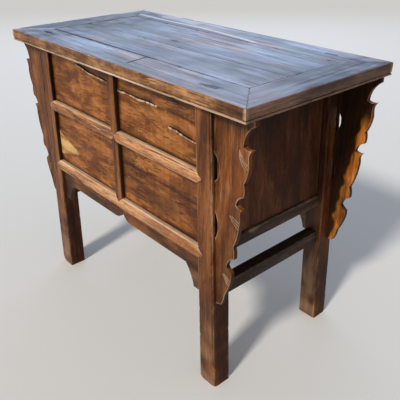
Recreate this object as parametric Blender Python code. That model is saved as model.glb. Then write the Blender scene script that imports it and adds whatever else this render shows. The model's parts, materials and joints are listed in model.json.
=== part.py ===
"""Two-drawer altar coffer: splayed legs, framed panels and carved wing spandrels.

Metres, +Z up. The origin is on the floor under the middle of the top. +X runs along the
length, the drawers open towards -Y and the plain panelled back faces +Y.
"""
import math

import bmesh
import bpy
from mathutils import Vector

# Overall size
LENGTH = 1.055
DEPTH = 0.525
HEIGHT = 0.850

# Fits: a seated joint, a pointed shoulder, a piece that slides or turns, points that count as one
GAP = 0.0003
NOTCH_GAP = 1.5 * GAP
RUN = 0.0012
WELD = 0.00001

# Top: a mitred frame round two flush boards
TOP_THICKNESS = 0.034
TOP_LONG_WIDTH = 0.104
TOP_END_WIDTH = 0.092
TOP_BOARD_THICKNESS = 0.014
TOP_BOARD_LIP = 0.007
TOP_BOARD_SPLIT = 0.030
TOP_EDGE_EASE = 0.002
EDGE_BEAD_HEIGHT = 0.007
EDGE_GROOVE_DEPTH = 0.0025
BATTEN_WIDTH = 0.030
BATTEN_SPACING = 0.340
END_OVERHANG = 0.127
SIDE_OVERHANG = 0.0225

# Legs: they lean out and thicken towards the floor
LEG_WIDTH_TOP = 0.056
LEG_WIDTH_FOOT = 0.063
LEG_DEPTH_TOP = 0.054
LEG_DEPTH_FOOT = 0.057
LEG_EASE = 0.0025
LEG_BEAD = 0.0070
LEG_BEAD_GROOVE = 0.0012
LEG_TENON_WIDTH = 0.040
LEG_TENON_THICKNESS = 0.013
SPLAY_LONG = 0.029
SPLAY_SHORT = 0.009

# Rails and posts
MID_RAIL_TOP = 0.648
MID_RAIL_HEIGHT = 0.034
BOTTOM_RAIL_TOP = 0.438
BOTTOM_RAIL_HEIGHT = 0.036
RAIL_THICKNESS = 0.034
FACE_PROUD = 0.001
FACE_ROUND_DEPTH = 0.005
FACE_ROUND_WIDTH = 0.009
SHOULDER_DEPTH = 0.010
RAIL_POINT = 0.021
POST_WIDTH = 0.032
POST_POINT = 0.013
TENON_LENGTH = 0.020
TENON_THICKNESS = 0.007
TENON_WALL = 0.002

# End frames
END_INSET = 0.012
END_PANEL_STEP = 0.006
END_RAIL_TOP = 0.450
END_RAIL_HEIGHT = 0.035
END_TOP_RAIL_HEIGHT = 0.036
END_RAIL_THICKNESS = 0.027
STRETCHER_TOP = 0.327
STRETCHER_HEIGHT = 0.040
STRETCHER_THICKNESS = 0.034

# Panels and the store's floor
PANEL_INSET = 0.012
PANEL_LIP = 0.003
TONGUE_THICKNESS = 0.006
TONGUE_DEPTH = 0.006
FLOOR_THICKNESS = 0.012
FLOOR_REBATE = 0.008

# Apron under each long bottom rail
APRON_HEIGHT = 0.046
APRON_THICKNESS = 0.014
APRON_INSET = 0.010
BRACKET_DROP = 0.064
BRACKET_FOOT = 0.031
BRACKET_SPREAD = 0.062
BRACKET_CURVE = 0.14
NOTCH_HEIGHT = 0.034
NOTCH_WIDTH = 0.074
NOTCH_CURVE = 0.38

# Wing spandrels: plates let into the legs under the ends of the top
SPANDREL_DROP = 0.524
SPANDREL_TIP_BACK = 0.003
SPANDREL_THICKNESS = 0.011
SPANDREL_INSET = 0.008
SPANDREL_SEAT = 0.005
CRESCENT_DEPTH = 0.016

# Drawers and their runners
DRAWER_INSET = 0.003
DRAWER_FRONT = 0.022
DRAWER_SIDE = 0.012
DRAWER_SIDE_SETBACK = 0.012
DRAWER_SIDE_LOWER = 0.012
DRAWER_HOUSING = 0.006
DRAWER_BACK_CLEAR = 0.006
DRAWER_BOTTOM = 0.008
DRAWER_BOTTOM_RISE = 0.008
DRAWER_GROOVE = 0.005
RUNNER_HEIGHT = 0.022
RUNNER_LEDGE = 0.020
GUIDE_WIDTH = 0.010
GUIDE_HEIGHT = 0.016
RUNNER_TENON = 0.010

# Drawer pulls
PLATE_RADIUS = 0.030
PLATE_THICKNESS = 0.0016
PLATE_LOBES = 8
PLATE_LOBE_DEPTH = 0.0018
PIN_STANDOFF = 0.0100
PIN_RADIUS = 0.0016
EYE_RADIUS = 0.0050
EYE_HOLE = 0.0022
EYE_WIDTH = 0.0040
SHANK = 0.0040
SHANK_LENGTH = 0.018
DROP_LENGTH = 0.056
DROP_NECK = 0.0060
DROP_BELLY = 0.0125
DROP_THICKNESS = 0.0050
DROP_SLOT_CLEAR = 0.0012
DROP_BELLY_LOW = 1.6
DROP_TAPER = 0.55
DROP_TAPER_POWER = 6

# Levels and depths that follow from the sizes
UNDERSIDE = HEIGHT - TOP_THICKNESS
MID_RAIL_LOW = MID_RAIL_TOP - MID_RAIL_HEIGHT
BOTTOM_RAIL_LOW = BOTTOM_RAIL_TOP - BOTTOM_RAIL_HEIGHT
END_RAIL_LOW = END_RAIL_TOP - END_RAIL_HEIGHT
END_TOP_RAIL_LOW = UNDERSIDE - END_TOP_RAIL_HEIGHT
STRETCHER_LOW = STRETCHER_TOP - STRETCHER_HEIGHT
APRON_EDGE = BOTTOM_RAIL_LOW - APRON_HEIGHT
TONGUE_FRONT = PANEL_INSET + PANEL_LIP
TONGUE_BACK = TONGUE_FRONT + TONGUE_THICKNESS
TENON_FRONT = TONGUE_BACK + TENON_WALL
TENON_SHOULDER = TONGUE_DEPTH + TENON_WALL
END_PANEL_INSET = END_INSET + END_PANEL_STEP
END_TENON_FRONT = END_PANEL_INSET + PANEL_LIP + TENON_WALL
FLOOR_LOW = BOTTOM_RAIL_TOP - FLOOR_THICKNESS
DRAWER_LOW = MID_RAIL_TOP + GAP
DRAWER_HIGH = UNDERSIDE - RUN
CLEAR = 0.004

# Colours of the finishes
LACQUER = ((0.090, 0.050, 0.032, 1.0), 0.38, 0.0)
WORN_WOOD = ((0.200, 0.090, 0.038, 1.0), 0.50, 0.0)
SHADED_WOOD = ((0.110, 0.052, 0.026, 1.0), 0.55, 0.0)
BARE_WOOD = ((0.330, 0.200, 0.105, 1.0), 0.70, 0.0)
BRASS = ((0.560, 0.400, 0.160, 1.0), 0.35, 1.0)


# Places on the leaning frame

def lean(z):
    """Share of the splay reached at height z: none at the top, all of it on the floor."""
    return 1.0 - z / HEIGHT


def leg_out_x(z):
    return LENGTH / 2 - END_OVERHANG + SPLAY_LONG * lean(z)


def leg_in_x(z):
    return leg_out_x(z) - LEG_WIDTH_TOP - (LEG_WIDTH_FOOT - LEG_WIDTH_TOP) * lean(z)


def leg_out_y(z):
    return DEPTH / 2 - SIDE_OVERHANG + SPLAY_SHORT * lean(z)


def leg_depth(z):
    return LEG_DEPTH_TOP + (LEG_DEPTH_FOOT - LEG_DEPTH_TOP) * lean(z)


def leg_in_y(z):
    return leg_out_y(z) - leg_depth(z)


def on_face(side):
    """Place (x, depth behind the legs' faces, z) on the back (1) or the front (-1)."""
    def place(x, depth, z):
        return Vector((x, side * (leg_out_y(z) - depth), z))
    return place


def on_end(side):
    """Place (y, depth behind the legs' end faces, z) on the right (1) or left (-1) end."""
    def place(y, depth, z):
        return Vector((side * (leg_out_x(z) - depth), y, z))
    return place


def upright(place):
    """Swap the first and last of a place's three coordinates, for posts."""
    def turned(z, depth, x):
        return place(x, depth, z)
    return turned


def in_world(x, y, z):
    return Vector((x, y, z))


# Solids

def tidy(shape, mesh):
    """Weld a shape's meeting points, dissolve its flat slivers and write it to a mesh."""
    bmesh.ops.remove_doubles(shape, verts=shape.verts, dist=WELD)
    for sweep in range(3):
        bmesh.ops.dissolve_degenerate(shape, dist=WELD, edges=shape.edges)
    bmesh.ops.recalc_face_normals(shape, faces=shape.faces)
    shape.to_mesh(mesh)
    shape.free()


def loft(name, rings):
    """Closed solid through a row of rings that have the same number of points."""
    shape = bmesh.new()
    loops = [[shape.verts.new(point) for point in ring] for ring in rings]
    count = len(rings[0])
    for near, far in zip(loops, loops[1:]):
        for i in range(count):
            j = (i + 1) % count
            shape.faces.new((near[i], near[j], far[j], far[i]))
    shape.faces.new(loops[0])
    shape.faces.new(loops[-1])
    mesh = bpy.data.meshes.new(name)
    tidy(shape, mesh)
    piece = bpy.data.objects.new(name, mesh)
    bpy.context.scene.collection.objects.link(piece)
    return piece


def block(name, place, low, high):
    """Solid between two opposite corners, given in the coordinates that place takes."""
    rings = []
    for depth in (low[1], high[1]):
        corners = ((low[0], low[2]), (high[0], low[2]), (high[0], high[2]), (low[0], high[2]))
        rings.append([place(along, depth, z) for along, z in corners])
    return loft(name, rings)


def plate(name, place, outline, front, back):
    """Flat plate with an outline of (along, z) points between two depths."""
    return loft(name, [[place(s, depth, z) for s, z in outline] for depth in (front, back)])


def rod(name, centre, radius, length, sides=24):
    """Round bar along X about a centre."""
    rings = []
    for x in (centre.x - length / 2, centre.x + length / 2):
        turns = (math.tau * i / sides for i in range(sides))
        rings.append([Vector((x, centre.y + radius * math.cos(a), centre.z + radius * math.sin(a)))
                      for a in turns])
    return loft(name, rings)


def combine(piece, operation, tools):
    """Apply Boolean tools to a piece one after another and remove them."""
    for tool in tools:
        modifier = piece.modifiers.new("combine", "BOOLEAN")
        modifier.operation = operation
        modifier.solver = "EXACT"
        modifier.object = tool
        graph = bpy.context.evaluated_depsgraph_get()
        result = bpy.data.meshes.new_from_object(piece.evaluated_get(graph))
        piece.modifiers.clear()
        piece.data = result
        bpy.data.objects.remove(tool)
    shape = bmesh.new()
    shape.from_mesh(piece.data)
    tidy(shape, piece.data)
    return piece


def cut(piece, *tools):
    return combine(piece, "DIFFERENCE", tools)


def fuse(piece, *tools):
    return combine(piece, "UNION", tools)


def arc(start, end, bulge, steps=5):
    """Points after start up to end; bulge is rise over half chord, positive to the left."""
    if bulge == 0.0:
        return [end]
    (ax, az), (bx, bz) = start, end
    half = math.hypot(bx - ax, bz - az) / 2
    radius = half * (1 + bulge * bulge) / (2 * bulge)
    nx, nz = -(bz - az) / (2 * half), (bx - ax) / (2 * half)
    cx = (ax + bx) / 2 + nx * (half * bulge - radius)
    cz = (az + bz) / 2 + nz * (half * bulge - radius)
    first = math.atan2(az - cz, ax - cx)
    sweep = -4 * math.atan(bulge)
    points = []
    for i in range(1, steps + 1):
        angle = first + sweep * i / steps
        points.append((cx + abs(radius) * math.cos(angle), cz + abs(radius) * math.sin(angle)))
    return points


def chain(start, legs, steps=5):
    """Outline from start through (point, bulge) legs."""
    points = [start]
    for end, bulge in legs:
        points += arc(points[-1], end, bulge, steps)
    return points


# Joints between pieces

def grown(low, high, by):
    """A box's corners moved out by a clearance on every side."""
    return [v - by for v in low], [v + by for v in high]


def tenon(piece, host, place, low, high):
    """Fuse a tenon to a piece and cut its mortise in the host."""
    fuse(piece, block("tenon", place, low, high))
    cut(host, block("mortise", place, *grown(low, high, GAP)))


def face_layers(inner):
    """Layers of a rounded, pointed face followed by the layers behind it."""
    steps = 4
    layers = []
    for i in range(steps + 1):
        turn = math.pi / 2 * i / steps
        trim = FACE_ROUND_WIDTH * (1 - math.sin(turn))
        layers.append((FACE_ROUND_DEPTH * (1 - math.cos(turn)) - FACE_PROUD, trim, trim, True))
    return layers + [(SHOULDER_DEPTH, 0, 0, True)] + inner


def bar(name, place, ends, span, layers, points):
    """Rail or post lofted from its face inwards.

    ends gives its two shoulders as functions across it, span its two edges, and each layer
    is (depth, trim of the low edge, trim of the high edge, whether the ends are pointed).
    """
    low, high = span
    middle = (low + high) / 2
    half = (high - low) / 2
    levels = {low, middle, high}
    for depth, trim_low, trim_high, pointed in layers:
        if not pointed:
            levels |= {low + trim_low, high - trim_high}
    levels = sorted(levels)
    route = [(level, 1) for level in levels] + [(level, 0) for level in reversed(levels)]
    rings = []
    for depth, trim_low, trim_high, pointed in layers:
        ring = []
        for level, end in route:
            across = min(max(level, low + trim_low), high - trim_high)
            reach = points[end] * (1 - abs(across - middle) / half) if pointed else 0.0
            along = ends[end](across) + (reach if end else -reach)
            ring.append(place(along, depth, across))
        rings.append(ring)
    return loft(name, rings)


def groove_layers(below, above, back, rebate=0.0):
    """Layers behind a face: panel grooves below and above, then the inner side."""
    front_edge, back_edge = TONGUE_FRONT - GAP, TONGUE_BACK + GAP
    deep = TONGUE_DEPTH + GAP
    low, high = deep * below, deep * above
    layers = [(SHOULDER_DEPTH, 0, 0, False), (front_edge, 0, 0, False),
              (front_edge, low, high, False),
              (back_edge, low, high, False), (back_edge, 0, 0, False)]
    if rebate:
        layers += [(back - FLOOR_REBATE, 0, 0, False), (back - FLOOR_REBATE, 0, rebate, False)]
    return layers + [(back, 0, rebate, False)]


def panel(name, place, left, right, low, high, inset):
    """Panel with a recessed field and a tongue on all four edges."""
    lip = inset + PANEL_LIP
    rings = []
    for depth, grow in ((inset, -GAP), (lip, -GAP), (lip, TONGUE_DEPTH),
                        (lip + TONGUE_THICKNESS, TONGUE_DEPTH)):
        bottom, top = low - grow, high + grow
        corners = ((left(bottom) - grow, bottom), (right(bottom) + grow, bottom),
                   (right(top) + grow, top), (left(top) - grow, top))
        rings.append([place(along, depth, z) for along, z in corners])
    return loft(name, rings)


def slot(name, place, edge, low, high, front, inward):
    """Cutter for a tongue's stopped groove along an edge that leans with height."""
    near, far = (-CLEAR, TONGUE_DEPTH + GAP) if inward else (-TONGUE_DEPTH - GAP, CLEAR)
    ends = (low - TONGUE_DEPTH - GAP, high + TONGUE_DEPTH + GAP)
    outline = [(edge(ends[0]) + near, ends[0]), (edge(ends[0]) + far, ends[0]),
               (edge(ends[1]) + far, ends[1]), (edge(ends[1]) + near, ends[1])]
    return plate(name, place, outline, front - GAP, front + TONGUE_THICKNESS + GAP)


# Finishes and placing

def coat(piece, finish):
    colour, roughness, metallic = finish
    material = bpy.data.materials.new(piece.name)
    material.use_nodes = True
    shader = material.node_tree.nodes["Principled BSDF"]
    shader.inputs["Base Color"].default_value = colour
    shader.inputs["Roughness"].default_value = roughness
    shader.inputs["Metallic"].default_value = metallic
    piece.data.materials.clear()
    piece.data.materials.append(material)


def settle(piece, finish, parent, origin=None):
    """Give a piece its finish, its own origin and its parent."""
    corners = [Vector(corner) for corner in piece.bound_box]
    if origin is None:
        origin = sum(corners, Vector()) / len(corners)
    for vertex in piece.data.vertices:
        vertex.co -= origin
    piece.location = origin - parent.location
    piece.parent = parent
    coat(piece, finish)


def anchor(name, location):
    empty = bpy.data.objects.new(name, None)
    empty.location = location
    bpy.context.scene.collection.objects.link(empty)
    return empty


# Top

def top_profile(width):
    """Section of a frame member: (distance in from the edge, z)."""
    bead = UNDERSIDE + EDGE_BEAD_HEIGHT
    groove_low = HEIGHT - TOP_BOARD_THICKNESS - GAP
    groove_high = HEIGHT - TOP_BOARD_LIP + GAP
    inner = width - TONGUE_DEPTH - GAP
    ease = EDGE_GROOVE_DEPTH / 2
    return [(ease, UNDERSIDE), (0.0, UNDERSIDE + ease), (0.0, bead - ease), (EDGE_GROOVE_DEPTH, bead),
            (0.0, bead + ease), (0.0, HEIGHT - TOP_EDGE_EASE), (TOP_EDGE_EASE, HEIGHT), (width, HEIGHT),
            (width, groove_high), (inner, groove_high), (inner, groove_low), (width, groove_low),
            (width, UNDERSIDE)]


def build_top():
    top = {}
    slope = TOP_END_WIDTH / TOP_LONG_WIDTH
    for name, side in (("back", 1), ("front", -1)):
        rings = []
        for end in (-1, 1):
            rings.append([Vector((end * (LENGTH / 2 - GAP / 2 - w * slope), side * (DEPTH / 2 - w), z))
                          for w, z in top_profile(TOP_LONG_WIDTH)])
        top[name] = loft("top_frame_" + name, rings)
    for name, side in (("left", -1), ("right", 1)):
        rings = []
        for end in (-1, 1):
            rings.append([Vector((side * (LENGTH / 2 - w), end * (DEPTH / 2 - GAP / 2 - w / slope), z))
                          for w, z in top_profile(TOP_END_WIDTH)])
        top[name] = loft("top_frame_" + name, rings)
    inner_x = LENGTH / 2 - TOP_END_WIDTH
    inner_y = DEPTH / 2 - TOP_LONG_WIDTH
    boards = (("back", TOP_BOARD_SPLIT, inner_y, False), ("front", -inner_y, TOP_BOARD_SPLIT, True))
    for name, near, far, near_grows in boards:
        rings = []
        lip = HEIGHT - TOP_BOARD_LIP
        under = HEIGHT - TOP_BOARD_THICKNESS
        for z, grow in ((HEIGHT, -GAP), (lip, -GAP), (lip, TONGUE_DEPTH), (under, TONGUE_DEPTH)):
            low = near - (grow if near_grows else -GAP)
            high = far + (-GAP if near_grows else grow)
            x = inner_x + grow
            corners = ((-x, low), (x, low), (x, high), (-x, high))
            rings.append([Vector((along, across, z)) for along, across in corners])
        top["board_" + name] = loft("top_board_" + name, rings)
    for name, side in (("left", -1), ("right", 1)):
        low_x = side * BATTEN_SPACING / 2 - BATTEN_WIDTH / 2
        high_z = HEIGHT - TOP_BOARD_THICKNESS - GAP
        batten = block("top_batten_" + name, in_world, (low_x, -inner_y + GAP, UNDERSIDE),
                       (low_x + BATTEN_WIDTH, inner_y - GAP, high_z))
        for host, end in (("back", 1), ("front", -1)):
            reach = sorted((end * (inner_y - CLEAR), end * (inner_y + RUNNER_TENON)))
            tenon(batten, top[host], in_world,
                  (low_x + TENON_SHOULDER, reach[0], UNDERSIDE + TENON_SHOULDER),
                  (low_x + BATTEN_WIDTH - TENON_SHOULDER, reach[1], high_z - TENON_SHOULDER))
        top["batten_" + name] = batten
    return top


# Legs

def leg_ring(side_x, side_y, z):
    """Section of a leg at height z: eased corners and a bead along the outer one."""
    place = on_face(side_y)
    inside, outside, deep, ease = leg_in_x(z), leg_out_x(z), leg_depth(z), LEG_EASE
    bead, groove = outside - LEG_BEAD, LEG_BEAD_GROOVE
    outline = [(inside + ease, 0), (bead - groove, 0), (bead, groove), (bead + groove, 0),
               (outside - ease, 0), (outside, ease), (outside, deep - ease), (outside - ease, deep),
               (inside + ease, deep), (inside, deep - ease), (inside, ease)]
    return [place(side_x * x, depth, z) for x, depth in outline]


def build_leg(name, side_x, side_y, top_member):
    leg = loft(name, [leg_ring(side_x, side_y, z) for z in (0.0, UNDERSIDE - GAP)])

    def place(x, depth, z):
        return on_face(side_y)(side_x * x, depth, z)

    centre = (leg_in_x(UNDERSIDE) + leg_out_x(UNDERSIDE)) / 2
    front = (LEG_DEPTH_TOP - LEG_TENON_THICKNESS) / 2
    tenon(leg, top_member, place,
          (centre - LEG_TENON_WIDTH / 2, front, UNDERSIDE - CLEAR),
          (centre + LEG_TENON_WIDTH / 2, front + LEG_TENON_THICKNESS, HEIGHT))
    for low, high in ((MID_RAIL_LOW, MID_RAIL_TOP), (BOTTOM_RAIL_LOW, BOTTOM_RAIL_TOP)):
        cut(leg, plate("notch", place, notch_outline(leg_in_x, low, high), -CLEAR, SHOULDER_DEPTH + GAP))
    rows = [(BOTTOM_RAIL_TOP, MID_RAIL_LOW)]
    if side_y > 0:
        rows.append((MID_RAIL_TOP, UNDERSIDE - TONGUE_DEPTH))
    for low, high in rows:
        cut(leg, slot("groove", place, leg_in_x, low, high, TONGUE_FRONT, True))

    def end_place(y, depth, z):
        return on_end(side_x)(side_y * y, depth, z)

    cut(leg, slot("groove", end_place, leg_in_y, END_RAIL_TOP, END_TOP_RAIL_LOW,
                  END_PANEL_INSET + PANEL_LIP, True))
    seat_low = UNDERSIDE - SPANDREL_DROP - GAP
    seat = [(leg_out_x(seat_low) - SPANDREL_SEAT, seat_low), (leg_out_x(seat_low) + CLEAR, seat_low),
            (leg_out_x(UNDERSIDE) + CLEAR, UNDERSIDE + CLEAR),
            (leg_out_x(UNDERSIDE) - SPANDREL_SEAT, UNDERSIDE + CLEAR)]
    cut(leg, plate("seat", place, seat, SPANDREL_INSET - GAP, SPANDREL_INSET + SPANDREL_THICKNESS + GAP))
    return leg


def notch_outline(edge, low, high):
    """Outline of the notch that takes a rail's pointed shoulder."""
    wide = NOTCH_GAP
    middle = (low + high) / 2
    return [(edge(low) - CLEAR, low - wide), (edge(low), low - wide),
            (edge(middle) + RAIL_POINT + wide, middle),
            (edge(high), high + wide), (edge(high) - CLEAR, high + wide)]


# Long sides

def rail_ends():
    return (lambda z: -leg_in_x(z) + GAP), (lambda z: leg_in_x(z) - GAP)


def build_long_rail(name, side, low, high, legs, below, above, rebate=0.0):
    place = on_face(side)
    layers = face_layers(groove_layers(below, above, RAIL_THICKNESS, rebate))
    rail = bar(name, place, rail_ends(), (low, high), layers, (RAIL_POINT, RAIL_POINT))
    for end, leg in zip((-1, 1), legs):
        reach = sorted((end * (leg_in_x(low) - CLEAR), end * (leg_in_x(low) + TENON_LENGTH)))
        tenon(rail, leg, place, (reach[0], TENON_FRONT, low + TENON_SHOULDER),
              (reach[1], TENON_FRONT + TENON_THICKNESS, high - TENON_SHOULDER - rebate))
    return rail


def build_post(name, side, low, high, below, above):
    """Post between two rails, pointed into each rail that is given."""
    place = upright(on_face(side))
    ends = (lambda x: low + GAP), (lambda x: high - GAP)
    points = (POST_POINT if below else 0.0, POST_POINT if above else 0.0)
    layers = face_layers(groove_layers(1, 1, RAIL_THICKNESS))
    post = bar(name, place, ends, (-POST_WIDTH / 2, POST_WIDTH / 2), layers, points)
    wide = POST_WIDTH / 2 + NOTCH_GAP
    for rail, level, way in ((below, low, -1), (above, high, 1)):
        if rail:
            tip = level + way * (POST_POINT + NOTCH_GAP)
            outline = [(-wide, level - way * CLEAR), (-wide, level), (0.0, tip), (wide, level),
                       (wide, level - way * CLEAR)]
            cut(rail, plate("notch", on_face(side), outline, -CLEAR, SHOULDER_DEPTH + GAP))
    return post


def build_panel_pair(prefix, side, low, high):
    place = on_face(side)
    half = POST_WIDTH / 2
    pair = []
    for name, left, right in (("left", lambda z: -leg_in_x(z), lambda z: -half),
                              ("right", lambda z: half, leg_in_x)):
        pair.append(panel(prefix + name, place, left, right, low, high, PANEL_INSET))
    return pair


def apron_outline():
    """Apron with a bracket at each leg and a pointed notch between two round lobes."""
    foot = APRON_EDGE - BRACKET_DROP
    half = [((NOTCH_WIDTH / 2, APRON_EDGE), -NOTCH_CURVE),
            ((leg_in_x(APRON_EDGE) - BRACKET_SPREAD, APRON_EDGE), 0.0),
            ((leg_in_x(foot) - BRACKET_FOOT, foot), BRACKET_CURVE),
            ((leg_in_x(foot) - GAP, foot), 0.0),
            ((leg_in_x(BOTTOM_RAIL_LOW) - GAP, BOTTOM_RAIL_LOW - GAP), 0.0)]
    right = chain((0.0, APRON_EDGE + NOTCH_HEIGHT), half)
    return right + [(-x, z) for x, z in reversed(right[1:])]


def build_apron(name, side):
    return plate(name, on_face(side), apron_outline(), APRON_INSET, APRON_INSET + APRON_THICKNESS)


# Wing spandrels

def spandrel_outline():
    """Outline as (offset from the leg's outer face, z): three hooked lobes over a foot.

    Each leg of the edge is (share of the reach, share of the drop, bulge).
    """
    reach = END_OVERHANG - SPANDREL_TIP_BACK
    top = UNDERSIDE - GAP
    edge = [(1.00, 0.022, 0.0), (0.734, 0.125, -0.25),
            (0.945, 0.126, -0.22), (0.868, 0.178, -0.25), (0.876, 0.203, 0.0), (0.755, 0.290, 0.10),
            (0.755, 0.352, 0.15), (0.558, 0.406, -0.30),
            (0.742, 0.411, -0.20), (0.668, 0.449, -0.30), (0.662, 0.489, 0.10), (0.500, 0.621, 0.08),
            (0.520, 0.686, 0.12), (0.315, 0.745, -0.26),
            (0.445, 0.770, -0.20), (0.430, 0.820, 0.10), (0.258, 0.917, 0.05), (0.161, 0.988, 0.08),
            (0.0, 1.0, 0.0)]
    back = -SPANDREL_SEAT + GAP
    legs = [((share * reach, top - drop * SPANDREL_DROP), bulge) for share, drop, bulge in edge]
    legs.append(((back, top - SPANDREL_DROP), 0.0))
    for low, high, depth in ((0.642, 0.475, 0.6), (0.345, 0.195, 1.0)):
        start, end = (back, top - low * SPANDREL_DROP), (back, top - high * SPANDREL_DROP)
        bulge = (CRESCENT_DEPTH * depth - back) / ((end[1] - start[1]) / 2)
        legs += [(start, 0.0), (end, -bulge)]
    legs.append(((back, top), 0.0))
    return chain((reach, top), legs)


def build_spandrel(name, side_x, side_y):
    outline = [(side_x * (leg_out_x(z) + offset), z) for offset, z in spandrel_outline()]
    return plate(name, on_face(side_y), outline, SPANDREL_INSET, SPANDREL_INSET + SPANDREL_THICKNESS)


# Ends

def build_end_rail(name, side, low, high, legs, layers):
    place = on_end(side)
    ends = (lambda z: -leg_in_y(z) + GAP), (lambda z: leg_in_y(z) - GAP)
    rail = bar(name, place, ends, (low, high), layers, (0.0, 0.0))
    for end, leg in zip((-1, 1), legs):
        reach = sorted((end * (leg_in_y(low) - CLEAR), end * (leg_in_y(low) + TENON_LENGTH)))
        tenon(rail, leg, place, (reach[0], END_TENON_FRONT, low + TENON_SHOULDER),
              (reach[1], END_TENON_FRONT + TENON_THICKNESS, high - TENON_SHOULDER))
    return rail


def end_layers(thickness, low_groove, high_groove, rebate=0.0):
    """Layers of an end rail: eased face, panel groove and a rebate for the floor."""
    front = END_PANEL_INSET + PANEL_LIP - GAP
    back = front + TONGUE_THICKNESS + 2 * GAP
    inner = END_INSET + thickness
    deep = TONGUE_DEPTH + GAP
    low, high = deep * low_groove, deep * high_groove
    layers = [(END_INSET, LEG_EASE, LEG_EASE, False), (END_INSET + LEG_EASE, 0, 0, False)]
    if low or high:
        layers += [(front, 0, 0, False), (front, low, high, False),
                   (back, low, high, False), (back, 0, 0, False)]
    if rebate:
        layers += [(inner - FLOOR_REBATE, 0, 0, False), (inner - FLOOR_REBATE, 0, rebate, False)]
    return layers + [(inner, 0, rebate, False)]


def build_end(name, side, legs):
    rebate = END_RAIL_TOP - FLOOR_LOW + GAP
    rails = (("end_top_rail_", END_TOP_RAIL_LOW, UNDERSIDE - GAP, end_layers(END_RAIL_THICKNESS, 1, 0)),
             ("end_rail_", END_RAIL_LOW, END_RAIL_TOP, end_layers(END_RAIL_THICKNESS, 0, 1, rebate)),
             ("end_stretcher_", STRETCHER_LOW, STRETCHER_TOP, end_layers(STRETCHER_THICKNESS, 0, 0)))
    pieces = []
    for kind, low, high, layers in rails:
        pieces.append(build_end_rail(kind + name, side, low, high, legs, layers))
    pieces.append(panel("end_panel_" + name, on_end(side), lambda z: -leg_in_y(z), leg_in_y,
                        END_RAIL_TOP, END_TOP_RAIL_LOW, END_PANEL_INSET))
    return pieces


# Inside

def build_floor():
    """Floor of the store, lying in the rails' rebates and notched round the legs."""
    z = FLOOR_LOW
    end_x = leg_out_x(z) - END_INSET - END_RAIL_THICKNESS + FLOOR_REBATE - RUN
    side_y = leg_out_y(z) - RAIL_THICKNESS + FLOOR_REBATE - RUN
    leg_x, leg_y = leg_in_x(z) - RUN, leg_in_y(z) - RUN
    corner = [(end_x, leg_y), (leg_x, leg_y), (leg_x, side_y)]
    outline = corner + [(-x, y) for x, y in reversed(corner)]
    outline += [(-x, -y) for x, y in corner] + [(x, -y) for x, y in reversed(corner)]
    rings = [[Vector((x, y, level)) for x, y in outline] for level in (z, BOTTOM_RAIL_TOP)]
    return loft("floor_board", rings)


def drawer_side_x():
    """Outer face of a drawer's outer side."""
    return leg_in_x(UNDERSIDE) - DRAWER_SIDE_SETBACK


def build_runner(name, section, rails):
    """Runner with a guide, tenoned between the front and back rails; section is (x, z) points."""
    ends = [side * (leg_out_y(MID_RAIL_TOP) - RAIL_THICKNESS - GAP) for side in (-1, 1)]
    runner = loft(name, [[Vector((x, y, z)) for x, z in section] for y in ends])
    across = [x for x, z in section if z < MID_RAIL_TOP]
    for rail, end in zip(rails, (-1, 1)):
        inner = leg_out_y(MID_RAIL_TOP) - RAIL_THICKNESS
        reach = sorted((end * (inner - CLEAR), end * (inner + RUNNER_TENON)))
        tenon(runner, rail, in_world,
              (min(across) + TENON_SHOULDER, reach[0], MID_RAIL_TOP - RUNNER_HEIGHT + TENON_SHOULDER),
              (max(across) - TENON_SHOULDER, reach[1], MID_RAIL_TOP - TENON_SHOULDER))
    return runner


def build_runners(rails):
    low, ledge, top = MID_RAIL_TOP - RUNNER_HEIGHT, MID_RAIL_TOP, MID_RAIL_TOP + GUIDE_HEIGHT
    half = POST_WIDTH / 2
    wide = half + RUNNER_LEDGE
    centre = [(-wide, low), (wide, low), (wide, ledge), (half, ledge),
              (half, top), (-half, top), (-half, ledge), (-wide, ledge)]
    guide = drawer_side_x() + RUN
    inside = guide - RUNNER_LEDGE
    outside = guide + GUIDE_WIDTH
    outer = [(inside, low), (outside, low), (outside, top), (guide, top), (guide, ledge), (inside, ledge)]
    sections = (("centre", centre), ("right", outer), ("left", [(-x, z) for x, z in outer]))
    return [build_runner("drawer_runner_" + name, section, rails) for name, section in sections]


# Drawers and pulls

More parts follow.
